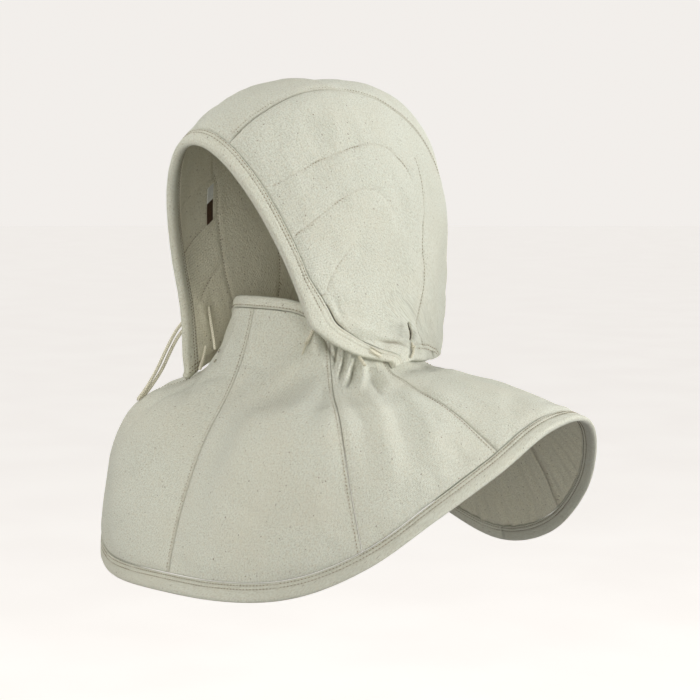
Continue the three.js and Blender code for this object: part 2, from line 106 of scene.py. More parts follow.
# Arches of the hood from the face edge (along 0) over the crown to the nape hem (along 1):
# along, cap height share, roundness, half width share, half width share at the hem, centre strip share
HOOD_ARCHES = np.array([
    (0.00, 1.00, 2.00, 0.92, 0.94, 1.00),
    (0.12, 0.75, 2.20, 0.96, 0.94, 1.07),
    (0.30, 0.48, 2.35, 0.98, 0.95, 1.27),
    (0.42, 0.60, 2.12, 0.98, 0.95, 1.72),
    (0.55, 0.75, 1.98, 0.98, 0.95, 2.00),
    (0.70, 0.92, 1.90, 0.96, 0.95, 1.80),
    (0.85, 1.00, 1.95, 0.93, 0.94, 1.60),
    (1.00, 1.00, 2.10, 0.92, 0.92, 1.50),
])
CAP, ROUND, WIDE, HEM_WIDE, STRIP = 1, 2, 3, 4, 5

# Down-lines of the mantle by angle from the centre front: angle, collar drop,
# neck out, neck drop, shoulder break out, break drop, hem out, hem drop
MANTLE_LINES = np.array([
    (0, .425, .930, .940, .715, .780, .820, 1.000),
    (30, .430, .950, .985, .820, .690, .860, .997),
    (45, .445, .965, 1.015, .860, .660, .890, .975),
    (60, .450, .970, 1.010, .860, .650, .920, .920),
    (75, .455, .980, 1.000, .840, .645, .955, .835),
    (90, .460, .990, .990, .830, .640, 1.000, .755),
    (105, .460, 1.000, .985, .840, .630, 1.050, .680),
    (120, .460, 1.000, .980, .890, .630, 1.100, .670),
    (135, .460, 1.000, .980, .930, .640, 1.130, .740),
    (150, .460, 1.000, .980, .950, .670, 1.150, .865),
    (165, .460, 1.000, .980, .950, .700, 1.140, .975),
    (180, .460, 1.000, .980, .940, .720, 1.120, 1.015),
])


def smooth_step(low, high, value):
    """0 below low, 1 above high, and a soft rise between them."""
    share = np.clip((value - low) / (high - low), 0.0, 1.0)
    return share * share * (3.0 - 2.0 * share)


def column(table, name, at, level_ends=False):
    """A smooth curve through one column of a table, read at an array of keys."""
    at = np.asarray(at, float)
    key = table[:, 0]
    value = table[:, name]
    slope = np.empty(len(key))
    slope[1:-1] = (value[2:] - value[:-2]) / (key[2:] - key[:-2])
    slope[0] = 0.0 if level_ends else (value[1] - value[0]) / (key[1] - key[0])
    slope[-1] = 0.0 if level_ends else (value[-1] - value[-2]) / (key[-1] - key[-2])
    row = np.clip(np.searchsorted(key, at, side="left") - 1, 0, len(key) - 2)
    span = key[row + 1] - key[row]
    s = (at - key[row]) / span
    s2, s3 = s * s, s * s * s
    return ((2 * s3 - 3 * s2 + 1) * value[row] + (s3 - 2 * s2 + s) * span * slope[row]
            + (3 * s2 - 2 * s3) * value[row + 1] + (s3 - s2) * span * slope[row + 1])


def resample(line, count):
    """Evenly spaced points along a polyline, and its length."""
    steps = np.linalg.norm(np.diff(line, axis=0), axis=1)
    lengths = np.concatenate([[0.0], np.cumsum(steps)])
    at = np.linspace(0.0, lengths[-1], count)
    even_line = np.stack([np.interp(at, lengths, line[:, k]) for k in range(line.shape[1])], axis=1)
    return even_line, lengths[-1]


ROUTE_STEPS = 24


def smooth_route(points, count):
    """A Catmull-Rom line through the points, evenly spaced."""
    p = np.array(points, float)
    p = np.vstack([2 * p[0] - p[1], p, 2 * p[-1] - p[-2]])
    line = []
    t = np.linspace(0, 1, ROUTE_STEPS, endpoint=False)[:, None]
    for i in range(1, len(p) - 2):
        a, b, c, d = p[i - 1], p[i], p[i + 1], p[i + 2]
        line.append(0.5 * (2 * b + (c - a) * t + (2 * a - 5 * b + 4 * c - d) * t ** 2
                           + (3 * b - a - 3 * c + d) * t ** 3))
    line = np.vstack(line + [p[-2:-1]])
    return resample(line, count)[0]


def bezier(a, b, c, count):
    t = np.linspace(0.0, 1.0, count)[:, None]
    return (1 - t) ** 2 * a + 2 * t * (1 - t) * b + t * t * c


UPPER_STEPS = 20
LOWER_STEPS = 28


def down_line(turn):
    """One down-line of the mantle: radius and height from collar top to hem."""
    value = [float(column(MANTLE_LINES, k, turn, True)) for k in range(MANTLE_LINES.shape[1])]
    top = np.array([COLLAR_RADIUS, -value[1] * MANTLE_DROP])
    neck = np.array([value[2] * NECK_RADIUS, -value[3] * NECK_DROP])
    shoulder = np.array([value[4] * MANTLE_REACH, -value[5] * MANTLE_DROP])
    hem = np.array([value[6] * MANTLE_REACH, -value[7] * MANTLE_DROP])
    middle = (neck + shoulder) / 2
    upper = bezier(top, neck, middle, UPPER_STEPS + 1)
    lower = bezier(middle, shoulder, hem, LOWER_STEPS + 1)
    return np.concatenate([upper, lower[1:]])


LAST_CELL_MARGIN = 0.000001


def bilinear(grid, row, col):
    """Reads a grid of values at fractional rows and columns."""
    row = np.clip(row, 0, grid.shape[0] - 1 - LAST_CELL_MARGIN)
    col = np.clip(col, 0, grid.shape[1] - 1 - LAST_CELL_MARGIN)
    i, j = row.astype(int), col.astype(int)
    a, b = row - i, col - j
    if grid.ndim == 3:
        a, b = a[..., None], b[..., None]
    return ((grid[i, j] * (1 - a) + grid[i + 1, j] * a) * (1 - b)
            + (grid[i, j + 1] * (1 - a) + grid[i + 1, j + 1] * a) * b)


def grid_normals(points, towards):
    """Unit normals of a grid of points, turned to the side that towards points to."""
    normal = np.cross(np.gradient(points, axis=0), np.gradient(points, axis=1))
    normal /= np.maximum(np.linalg.norm(normal, axis=-1, keepdims=True), 1e-9)
    flip = np.sum(normal * towards, axis=-1, keepdims=True) < 0
    return np.where(flip, -normal, normal)


class Mantle:
    """The mantle's outer face by angle round the neck and distance down from the collar top."""

    STEPS_PER_DEGREE = 2
    DOWN = 240

    def __init__(self):
        half = [resample(down_line(turn / self.STEPS_PER_DEGREE), self.DOWN + 1)
                for turn in range(180 * self.STEPS_PER_DEGREE + 1)]
        lines = np.array([line for line, _ in half])
        total = np.array([length for _, length in half])
        lines = np.concatenate([lines, lines[-2::-1]])
        self.total = np.concatenate([total, total[-2::-1]])
        turn = np.radians(np.arange(len(lines)) / self.STEPS_PER_DEGREE)[:, None]
        radius, height = lines[..., 0], lines[..., 1]
        sine, cosine = np.sin(turn), np.cos(turn)
        self.points = np.stack([radius * sine, NECK_SET_BACK - radius * cosine, height], axis=-1)
        towards = np.stack(np.broadcast_arrays(sine, -cosine, np.ones_like(radius)), axis=-1)
        around = np.concatenate([self.points[-2:-1], self.points, self.points[1:2]])
        out = np.concatenate([towards[-2:-1], towards, towards[1:2]])
        self.normals = grid_normals(around, out)[1:-1]

    def length(self, angle):
        at = (np.asarray(angle, float) % 360.0) * self.STEPS_PER_DEGREE
        return np.interp(at, np.arange(len(self.total)), self.total)

    def read(self, angle, distance):
        """Points and normals at arrays of angles and distances."""
        angle, distance = np.broadcast_arrays(np.asarray(angle, float), np.asarray(distance, float))
        row = (angle % 360.0) * self.STEPS_PER_DEGREE
        col = distance / self.length(angle) * self.DOWN
        normal = bilinear(self.normals, row, col)
        normal /= np.linalg.norm(normal, axis=-1, keepdims=True)
        return bilinear(self.points, row, col), normal


# The laced stretch of the hood's left lower edge: share, place (x, y, z) and how far it is drawn down
LACED_EDGE = np.array([(0.00, 96, -76, -206, 0.0), (0.22, 97, -62, -221, 7.0), (0.42, 97, -42, -235, 15.0),
                       (0.60, 98, -22, -243, 18.0), (0.72, 102, 0, -250, 16.0), (0.82, 107, 18, -256, 9.0),
                       (0.91, 112, 40, -262, 3.0), (1.00, 104, 74, -262, 6.0)])
LACED_REACH = 34.0
LACED_REACH_GROWS = 3.0
LACED_FROM_SIDE = 60.0
LACED_BELOW = -150.0
DRAWN_DOWN = np.array([0.16, -0.10, -1.0])
DRAWN_BACK = np.array([0.0, 0.8, 0.0])
DRAWN_BACK_BEHIND = (30, 80)

# Between these two drops the hem settles into the shoulder's padding, and keeps this share of the
# distance by which the collar would push it out
HEM_SETTLES = (240.0, 264.0)
LEFT_HEM_KEEPS = 0.45
RIGHT_HEM_KEEPS = 0.6

# The right lower corner hangs free and flares out: its place, how far it moves, and the reach
FREE_CORNER = np.array([-101.9, -67.5, -284.0])
FREE_CORNER_MOVE = np.array([-8.5, -7.0, -8.0])
FREE_CORNER_REACH = 44.0


class RestLine:
    """How far out the hood's outer face has to lie to clear the collar, by angle and height."""

    LOW, HIGH = -330.0, -190.0

    def __init__(self):
        self.heights = np.arange(self.HIGH, self.LOW - 1, -1.0)
        lift = HOOD_PADDING + BINDING_CLOTH + REST_GAP
        rows = []
        for turn in range(0, 181, 2):
            line = down_line(float(turn))
            along = line[2:] - line[:-2]
            along /= np.linalg.norm(along, axis=1, keepdims=True)
            raised = line[1:-1] + lift * np.stack([-along[:, 1], along[:, 0]], axis=1)
            rows.append(np.interp(-self.heights, -raised[:, 1], raised[:, 0]))
        self.grid = np.array(rows)

    def radius(self, angle, height):
        return bilinear(self.grid, np.abs(angle) / 2.0, self.HIGH - height)


class Hood:
    """The hood's outer face: along 0 at the face edge to 1 at the nape, and signed distance
    from the centre line, positive towards the wearer's left."""

    ROWS = 320
    COLS = 260
    CAP_STEPS = 144
    SIDE_STEPS = 48

    def __init__(self):
        rest = RestLine()
        sides = {side: [resample(self.arch(a, side, rest), self.COLS + 1)
                        for a in np.linspace(0, 1, self.ROWS + 1)] for side in (-1, 1)}
        left = np.array([line for line, _ in sides[1]])
        right = np.array([line for line, _ in sides[-1]])
        self.total = {side: np.array([length for _, length in sides[side]]) for side in (-1, 1)}
        self.points = np.concatenate([right[:, :0:-1], left], axis=1)
        self.points = self.points + self.pulled_down(self.points) + self.flared_out(self.points)
        middle = np.array([0.0, (CROWN_TO_BACK - CROWN_TO_BROW_REACH) / 2, -HOOD_HEIGHT / 2])
        self.normals = grid_normals(self.points, self.points - middle)

    @staticmethod
    def pulled_down(points):
        """The laces draw the left lower edge down over the collar."""
        share = np.linspace(0, 1, 60)
        place = [np.interp(share, LACED_EDGE[:, 0], LACED_EDGE[:, k]) for k in range(1, 5)]
        line, drop = np.stack(place[:3], axis=1), place[3]
        move = np.zeros_like(points)
        near = np.nonzero((points[..., 0] > LACED_FROM_SIDE) & (points[..., 2] < LACED_BELOW))
        gap = np.linalg.norm(points[near][:, None] - line, axis=2)
        weight = np.exp(-((gap - LACED_REACH_GROWS * share) / LACED_REACH) ** 2)
        amount = (weight * drop).max(axis=1)
        behind = smooth_step(*DRAWN_BACK_BEHIND, points[near][:, 1])
        move[near] = amount[:, None] * DRAWN_DOWN
        move[near] += (amount * behind)[:, None] * DRAWN_BACK
        return move

    @staticmethod
    def flared_out(points):
        """The free right lower corner of the face edge stands out and hangs a little lower."""
        gap = np.linalg.norm(points - FREE_CORNER, axis=-1)
        return np.exp(-(gap / FREE_CORNER_REACH) ** 2)[..., None] * FREE_CORNER_MOVE

    @staticmethod
    def centre_line(along):
        """The line from the brow over the crown to the nape."""
        if along < FRONT_END:
            radius = (CROWN_TO_BROW_REACH ** 2 + BROW_DROP ** 2) / (2 * BROW_DROP)
            sweep = math.asin(CROWN_TO_BROW_REACH / radius) * (1 - along / FRONT_END)
            return np.array([0, -radius * math.sin(sweep), HOOD_PADDING - radius * (1 - math.cos(sweep))])
        if along < BACK_END:
            turn = (math.pi / 2) * (along - FRONT_END) / (BACK_END - FRONT_END)
            power = 2 / BACK_SQUARENESS
            return np.array([0, CROWN_TO_BACK * math.sin(turn) ** power,
                             HOOD_PADDING - BACK_DROP * (1 - math.cos(turn) ** power)])
        down = (along - BACK_END) / (1 - BACK_END)
        top = HOOD_PADDING - BACK_DROP
        return np.array([0, CROWN_TO_BACK - NAPE_TUCK * down * down, top + (-HOOD_HEIGHT - top) * down])

    def arch(self, along, side, rest):
        """Half an arch of the hood, from the centre line down to the hem of one side."""
        apex = self.centre_line(along)
        cap, power, wide, hem_wide = (float(column(HOOD_ARCHES, k, along))
                                      for k in (CAP, ROUND, WIDE, HEM_WIDE))
        wide, hem_wide = wide * CROWN_HALF_WIDTH, hem_wide * CROWN_HALF_WIDTH
        lower = RIGHT_CORNER_LOWER * max(0.0, 1 - along / 0.5) ** 2 if side < 0 else 0.0
        hem = np.array([0, -FACE_CORNER_FORWARD + (HEM_MIDDLE_BACK + FACE_CORNER_FORWARD) * along,
                        -HOOD_HEIGHT - lower])
        turn = np.linspace(0, math.pi / 2, self.CAP_STEPS + 1)
        height = cap * (1 - np.maximum(np.cos(turn), 0) ** (2 / power))
        out = np.sin(turn) ** (2 / power)
        height = np.concatenate([height, cap + (1 - cap) * np.linspace(0, 1, self.SIDE_STEPS + 1)[1:]])
        out = np.concatenate([out, np.ones(self.SIDE_STEPS)])
        points = apex + (hem - apex) * height[:, None]
        if side > 0:
            points[:, 1] += LEFT_CORNER_PULL * smooth_step(*CORNER_PULL_FROM, height) * (1 - along)
        points[:, 0] = side * out * (wide + (hem_wide - wide) * height ** 3)
        from_neck = points[:, :2] - [0, NECK_SET_BACK]
        radius = np.linalg.norm(from_neck, axis=1)
        angle = np.degrees(np.arctan2(from_neck[:, 0], -from_neck[:, 1]))
        reached = smooth_step(COLLAR_TOP_DROP, COLLAR_TOP_DROP + REST_START, -points[:, 2])
        need = rest.radius(angle, points[:, 2]) * reached
        spare = (radius - need) / REST_SOFTNESS
        soft = np.log1p(np.exp(np.minimum(spare, FAR_ENOUGH)))
        rested = need + REST_SOFTNESS * np.where(spare > FAR_ENOUGH, spare, soft)
        share = np.where(points[:, 2] > -COLLAR_TOP_DROP, 1.0, rested / np.maximum(radius, 1e-6))
        keeps = LEFT_HEM_KEEPS if side > 0 else RIGHT_HEM_KEEPS
        share = 1 + (share - 1) * (1 - (1 - keeps) * smooth_step(*HEM_SETTLES, -points[:, 2]))
        points[:, :2] = [0, NECK_SET_BACK] + from_neck * share[:, None]
        return points

    def hem(self, along, side):
        """Distance from the centre line to the hem on one side."""
        return np.interp(np.asarray(along, float) * self.ROWS, np.arange(self.ROWS + 1), self.total[side])

    @staticmethod
    def seam(along):
        """Distance from the centre line to the seam of the centre strip."""
        return column(HOOD_ARCHES, STRIP, along) * STRIP_HALF_WIDTH

    def read(self, along, distance):
        """Points and normals at arrays of shares along and distances."""
        along, distance = np.broadcast_arrays(np.asarray(along, float), np.asarray(distance, float))
        along = np.clip(along, 0, 1)
        total = np.where(distance < 0, self.hem(along, -1), self.hem(along, 1))
        col = self.COLS + distance / total * self.COLS
        row = along * self.ROWS
        normal = bilinear(self.normals, row, col)
        normal /= np.linalg.norm(normal, axis=-1, keepdims=True)
        return bilinear(self.points, row, col), normal


# Meshes
def mesh_object(name, vertices, faces, smooth=True):
    mesh = bpy.data.meshes.new(name)
    mesh.from_pydata([tuple(v) for v in np.asarray(vertices, float)], [],
                     [tuple(int(i) for i in face) for face in faces])
    mesh.validate()
    mesh.update()
    if smooth:
        mesh.shade_smooth()
    piece = bpy.data.objects.new(name, mesh)
    bpy.context.scene.collection.objects.link(piece)
    return piece


def add_values(piece, name, values):
    """Stores one number for each vertex."""
    attribute = piece.data.attributes.new(name, "FLOAT", "POINT")
    attribute.data.foreach_set("value", np.asarray(values, np.float32).ravel())


def add_vectors(piece, name, values):
    attribute = piece.data.attributes.new(name, "FLOAT_VECTOR", "POINT")
    attribute.data.foreach_set("vector", np.asarray(values, np.float32).ravel())


def grid_quads(rows, cols, first, flip, wrap=False):
    """Quads of a grid of points stored row by row from vertex number first."""
    i, j = np.meshgrid(np.arange(rows - (0 if wrap else 1)), np.arange(cols - 1), indexing="ij")
    i, j = i.ravel(), j.ravel()
    k = (i + 1) % rows
    quads = np.stack([i * cols + j, k * cols + j, k * cols + j + 1, i * cols + j + 1], axis=1) + first
    return quads[:, ::-1] if flip else quads


OTHER_CLOTH = [0, 0, 40]
# The lining's inner face takes this share of the painted crease shade
LINING_PAINTED_CREASE = 0.5


def padded_shell(name, outer, inner, cloth, stitched, wrap=False, painted_crease_shade=None):
    """A closed solid between an outer and an inner grid of points, in millimetres."""
    rows, cols = outer.shape[:2]
    count = rows * cols
    faces = [grid_quads(rows, cols, 0, False, wrap), grid_quads(rows, cols, count, True, wrap)]
    i = np.arange(rows if wrap else rows - 1)
    k = (i + 1) % rows
    for j, flip in ((0, False), (cols - 1, True)):
        rim = np.stack([i * cols + j, count + i * cols + j, count + k * cols + j, k * cols + j], axis=1)
        faces.append(rim[:, ::-1] if flip else rim)
    if not wrap:
        j = np.arange(cols - 1)
        for i, flip in ((0, True), (rows - 1, False)):
            start = i * cols + j
            rim = np.stack([start, count + start, count + start + 1, start + 1], axis=1)
            faces.append(rim[:, ::-1] if flip else rim)
    vertices = np.concatenate([outer.reshape(-1, 3), inner.reshape(-1, 3)])
    faces = np.concatenate(faces)
    corner, second, third = (vertices[faces[:, k]] for k in range(3))
    volume = np.einsum("ij,ij->i", corner, np.cross(second - corner, third - corner)).sum()
    if volume < 0:
        faces = faces[:, ::-1]
    piece = mesh_object(name, vertices * MM, faces)
    cloth, stitched = cloth.reshape(-1, 3), stitched.ravel()
    add_vectors(piece, "cloth", np.concatenate([cloth, cloth + OTHER_CLOTH]))
    add_values(piece, "stitched", np.concatenate([stitched, stitched]))
    # The last values darken the bottoms of narrow folds in the colour: painted shade, weaker on the lining
    painted_crease_shade = np.zeros(count) if painted_crease_shade is None else painted_crease_shade.ravel()
    add_values(piece, "painted_crease_shade", np.concatenate([painted_crease_shade, LINING_PAINTED_CREASE * painted_crease_shade]))
    return piece


def finish_piece(piece, material, slot, *nodes):
    piece.data.materials.append(material)
    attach(piece, "root")
    if nodes:
        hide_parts(*nodes)
    return piece


def cloth_lengths(points):
    """Coordinates in millimetres along the rows and columns of a grid of points."""
    down = np.linalg.norm(np.diff(points, axis=0), axis=2)
    across = np.linalg.norm(np.diff(points, axis=1), axis=2)
    y = np.concatenate([np.zeros((1, points.shape[1])), np.cumsum(down, axis=0)])
    x = np.concatenate([np.zeros((points.shape[0], 1)), np.cumsum(across, axis=1)], axis=1)
    x = x - x.mean(axis=1, keepdims=True)
    return np.stack([x, y, 0 * x], axis=-1)


class Waves:
    """Gentle waves: a sum of seeded sine waves, so that each run gives the same cloth."""

    COUNT = 14

    def __init__(self, seed, size):
        count = self.COUNT
        chance = np.random.default_rng(seed)
        direction = chance.normal(size=(count, 3))
        direction /= np.linalg.norm(direction, axis=1, keepdims=True)
        self.steps = direction * (2 * math.pi / (size * chance.uniform(0.6, 1.7, (count, 1))))
        self.starts = chance.uniform(0, 2 * math.pi, count)

    def at(self, points):
        """About -1 to 1 at each point."""
        total = np.sin(points @ self.steps.T + self.starts).sum(axis=-1)
        return total / math.sqrt(len(self.starts) / 2) * 0.5


slack = Waves(11, 60.0)
crumple = Waves(12, 22.0)
pucker = Waves(13, 7.0)

# A line over a surface is smoothed with its distances shortened to the scale of shares
DISTANCE_TO_ROUTE = 0.002
ROUTE_TO_DISTANCE = 500.0
LINE_POINTS = 260
LINE_STEP = 2.0
LINE_POINTS_LEAST = 8
LINE_REACH = 14.0


class StitchedLine:
    """A row of stitches that pulls the padding down. read gives points and normals at two
    surface coordinates."""

    def __init__(self, read, first, second, depth, width, fade=(0.0, 0.0), thread=True):
        """first and second are the surface coordinates along the line, a few of each."""
        first, second = np.asarray(first, float), np.asarray(second, float)
        steps = np.linspace(0, 1, len(first))
        path = smooth_route(np.stack([first, second * DISTANCE_TO_ROUTE, steps], axis=1), LINE_POINTS)
        points, _ = read(path[:, 0], path[:, 1] * ROUTE_TO_DISTANCE)
        steps = np.concatenate([[0], np.cumsum(np.linalg.norm(np.diff(points, axis=0), axis=1))])
        self.length = steps[-1]
        count = max(int(self.length / LINE_STEP), LINE_POINTS_LEAST)
        at = np.linspace(0, self.length, count)
        path = np.stack([np.interp(at, steps, path[:, k]) for k in range(2)], axis=1)
        self.points, self.normals = read(path[:, 0], path[:, 1] * ROUTE_TO_DISTANCE)
        self.at = at
        self.depth, self.width, self.fade, self.thread = depth, width, fade, thread

    def strength(self, at):
        """How hard the line pulls: it fades in and out at its ends."""
        low, high = self.fade
        share = np.ones_like(at)
        if low > 0:
            share = share * smooth_step(0, low, at)
        if high > 0:
            share = share * smooth_step(0, high, self.length - at)
        return share

    def pull(self, points):
        """How far each point is pulled in with its puckers, and how near the stitching is, 0 to 1."""
        flat = points.reshape(-1, 3)
        depth = np.zeros(len(flat))
        near = np.zeros(len(flat))
        low, high = self.points.min(0) - LINE_REACH, self.points.max(0) + LINE_REACH
        close = np.nonzero(np.all((flat > low) & (flat < high), axis=1))[0]
        for part in np.array_split(close, max(len(close) // 4000, 1)):
            if len(part) == 0:
                continue
            gap = np.linalg.norm(flat[part, None] - self.points[None], axis=2)
            nearest = gap.argmin(axis=1)
            distance = gap[np.arange(len(part)), nearest]
            at = self.at[nearest]
            strength = self.strength(at)
            valley = self.depth * np.exp(-(distance / self.width) ** 2)
            swell = 0.28 * self.depth * np.exp(-((distance - 6.5) / 3.5) ** 2)
            wave = pucker.at(self.points[nearest] * 0.9) * 0.20
            wave = wave * self.depth * np.exp(-(distance / 6.0) ** 2)
            depth[part] = strength * (swell + wave - valley)
            near[part] = strength * np.exp(-(distance / 1.6) ** 2)
        return depth.reshape(points.shape[:-1]), near.reshape(points.shape[:-1])


def relief_of(points, lines):
    """The total pull of several stitched lines, and how near a point is to the stitches."""
    depth = np.zeros(points.shape[:-1])
    near = np.zeros(points.shape[:-1])
    for line in lines:
        pulled, close = line.pull(points)
        depth += pulled
        near = np.maximum(near, close)
    return depth, near


SIM_FRAMES = 20
CLOTH_SETTINGS = {"quality": 5, "mass": 0.3, "tension_stiffness": 25, "compression_stiffness": 25,
                  "shear_stiffness": 12, "bending_stiffness": 0.6, "air_damping": 3.0,
                  "vertex_group_mass": "held", "shrink_min": -0.03, "use_pressure": True,
                  "uniform_pressure_force": 2.2}
SMALL_GRID = 14000


def blow_up(name, points, normals, held, lift_limit):
    """Lets the padding swell between its stitches: a cloth simulation of a coarse copy of the
    grid, with held points fixed. Gives the outward and sideways move of every point of the grid."""
    rows, cols = points.shape[:2]
    step = 2 if rows * cols < SMALL_GRID else 3
    r = np.unique(np.concatenate([np.arange(0, rows, step), [rows - 1]]))
    c = np.unique(np.concatenate([np.arange(0, cols, step), [cols - 1]]))
    coarse = points[np.ix_(r, c)]
    fixed = held[np.ix_(r, c)].copy()
    fixed[[0, -1]] = 1.0
    fixed[:, [0, -1]] = 1.0
    piece = mesh_object(name, coarse.reshape(-1, 3) * MM, grid_quads(len(r), len(c), 0, False))
    middle = len(piece.data.polygons) // 2
    outward = normals[np.ix_(r, c)].reshape(-1, 3)
    face = piece.data.polygons[middle]
    if Vector(outward[face.vertices[0]]).dot(face.normal) < 0:
        piece.data.flip_normals()
    group = piece.vertex_groups.new(name="held")
    for i, share in enumerate(fixed.ravel()):
        if share > 0.02:
            group.add([i], float(min(share, 1.0)), "REPLACE")
    scene = bpy.context.scene
    scene.frame_start, scene.frame_end = 1, SIM_FRAMES
    modifier = piece.modifiers.new("cloth", "CLOTH")
    for setting, value in CLOTH_SETTINGS.items():
        setattr(modifier.settings, setting, value)
    modifier.settings.effector_weights.gravity = 0.0
    modifier.collision_settings.use_collision = False
    modifier.collision_settings.use_self_collision = False
    modifier.point_cache.frame_end = SIM_FRAMES
    for number in range(1, SIM_FRAMES + 1):
        scene.frame_set(number)
    shaped = piece.evaluated_get(bpy.context.evaluated_depsgraph_get())
    found = np.zeros(len(shaped.data.vertices) * 3)
    shaped.data.vertices.foreach_get("co", found)
    scene.frame_set(1)
    mesh = piece.data
    bpy.data.objects.remove(piece)
    bpy.data.meshes.remove(mesh)
    move = found.reshape(len(r), len(c), 3) / MM - coarse
    size = np.linalg.norm(move, axis=2, keepdims=True)
    move *= np.minimum(1.0, lift_limit / np.maximum(size, 1e-6))
    soft = move.copy()
    soft[1:-1, 1:-1] = (move[1:-1, 1:-1] * 4 + move[:-2, 1:-1] + move[2:, 1:-1]
                        + move[1:-1, :-2] + move[1:-1, 2:]) / 8
    move = soft
    row = np.interp(np.arange(rows), r, np.arange(len(r)))
    col = np.interp(np.arange(cols), c, np.arange(len(c)))
    row, col = np.meshgrid(row, col, indexing="ij")
    return bilinear(move, row, col)


# The cloth surfaces
hood = Hood()
mantle = Mantle()
CELL = 2.6
GATHERED_CELL = 1.8
CELLS_LEAST = 4

# The face binding's width is measured a little way along, is kept below a share of the arches,
# narrows at the laced edge, and is smoothed over some places to each side
BINDING_PROBE = 0.03
BINDING_MOST = 0.25
LACED_BINDING_LOSS = 0.25
LACED_BINDING_FROM = 0.72
BINDING_SMOOTHING = 20


def even(length, cell):
    """Shares from 0 to 1 for cells of about the given size."""
    return np.linspace(0, 1, max(int(round(length / cell)), CELLS_LEAST) + 1)


def binding_shares():
    """The share along the arches that the face binding covers, by its place from the right hem
    (-1) over the brow (0) to the left hem (1)."""
    place = np.linspace(-1, 1, 401)

    def edge_at(along):
        reach = np.where(place < 0, hood.hem(along, -1), hood.hem(along, 1))
        return hood.read(along + 0.0 * place, place * reach)[0]

    length = np.linalg.norm(edge_at(BINDING_PROBE) - edge_at(0.0), axis=-1)
    share = np.minimum(BINDING_PROBE * FACE_BINDING_WIDTH / length, BINDING_MOST)
    share = share * (1 - LACED_BINDING_LOSS * smooth_step(LACED_BINDING_FROM, 1.0, place))
    around = 2 * BINDING_SMOOTHING + 1
    return place, np.convolve(np.pad(share, BINDING_SMOOTHING, "edge"), np.full(around, 1 / around), "valid")


BINDING_PLACES, BINDING_REACH = binding_shares()


def binding_share(distance):
    """The binding's reach where a line of the hood crosses the face edge, by distance there."""
    place = distance / np.where(distance < 0, hood.hem(0.0, -1), hood.hem(0.0, 1))
    return np.interp(place, BINDING_PLACES, BINDING_REACH)


# Quilting arches of the side panels, and the other stitched lines: coordinates are
# (along, distance) on the hood and (angle, distance) on the mantle
ARCH_ONE = [(0.050, 101), (0.069, 105.7), (0.131, 115.1), (0.172, 118), (0.212, 121.5), (0.25, 123),
            (0.29, 123), (0.325, 122.3), (0.35, 123.4), (0.378, 127), (0.419, 134), (0.46, 150), (0.50, 172)]
ARCH_TWO = [(0.045, 153), (0.091, 159.4), (0.122, 162), (0.153, 164.1), (0.216, 165.6), (0.262, 165.2),
            (0.288, 164.4), (0.319, 166), (0.34, 171), (0.369, 180.6), (0.41, 197), (0.45, 220)]
ARCH_THREE = [(0.070, 218), (0.100, 223), (0.122, 225), (0.144, 222.8), (0.175, 221.5), (0.222, 219.2),
              (0.244, 217.4), (0.272, 217.2), (0.30, 222), (0.33, 234)]
BACK_LINE = [(0.44, 108), (0.47, 122), (0.50, 140.5), (0.547, 183.3), (0.61, 196), (0.656, 206),
             (0.69, 226), (0.706, 240)]
FAR_SIDE_LOWER = 20.0
DOUBLE_STITCH = 4.0
QUILT_WIDTH = 1.9
SEAM_WIDTH = 1.6

# The rows of stitches along the hem: their distance from it, and where they start on each side
HEM_STITCH_INSET = 15.5
LEFT_HEM_STITCHED_FROM = 0.50
RIGHT_HEM_STITCHED_FROM = 0.10
RIGHT_HEM_INSET_SHARE = 0.5


def hood_line(points, side, lower, *look, **more):
    """A stitched line through (along, distance) pairs on one side of the hood."""
    distance = [side * (p[1] + (lower if side < 0 else 0.0)) for p in points]
    return StitchedLine(hood.read, [p[0] for p in points], distance, *look, **more)


hood_lines = []
quilting = []
seam_at = np.linspace(0.05, 1, 40)
for side in (1, -1):
    for arch, depth, end_fade in ((ARCH_ONE, 1.1, 70), (ARCH_TWO, 1.0, 70), (ARCH_THREE, 0.9, 45)):
        quilting.append(hood_line(arch, side, FAR_SIDE_LOWER, depth, QUILT_WIDTH, (6, end_fade)))
        hood_lines.append(quilting[-1])
    hood_lines.append(hood_line(BACK_LINE, side, 0.0, 0.7, 1.7, (20, 6)))
    for inset, depth, thread in ((0.0, 0.9, False), (DOUBLE_STITCH, 0.6, True)):
        hood_lines.append(StitchedLine(hood.read, seam_at, side * (hood.seam(seam_at) - inset), depth,
                                       SEAM_WIDTH, thread=thread))


def hem_stitch(side, inset, start):
    at = np.linspace(start, 1.0, 24)
    return StitchedLine(hood.read, at, side * (hood.hem(at, side) - inset), 0.7, SEAM_WIDTH)


for inset in (HEM_STITCH_INSET, HEM_STITCH_INSET - DOUBLE_STITCH):
    hood_lines += [hem_stitch(1, inset, LEFT_HEM_STITCHED_FROM),
                   hem_stitch(-1, inset * RIGHT_HEM_INSET_SHARE, RIGHT_HEM_STITCHED_FROM)]

# Buttonholes of the hood for the laces, as (along, distance): they press a valley into the cloth, and the
# front and back ones get a lens of painted shadow. The front one runs just behind the face binding
PAST_BINDING = 1.02
FRONT_SLIT = []
for place in (0.665, 0.69, 0.72, 0.755):
    reach = float(np.interp(place, BINDING_PLACES, BINDING_REACH)) * PAST_BINDING
    FRONT_SLIT.append((reach, place * float(hood.hem(reach, 1))))
BACK_SLIT = [(0.608, 250.0), (0.580, 270.0), (0.530, 291.0), (0.462, 313.0)]
EDGE_SLIT = [(0.136, 304.0), (0.112, 312.0), (0.080, 317.5)]
for opening, depth in ((FRONT_SLIT, 2.2), (BACK_SLIT, 2.6), (EDGE_SLIT, 1.6)):
    hood_lines.append(hood_line(opening, 1, 0.0, depth, QUILT_WIDTH, (3, 3), thread=False))

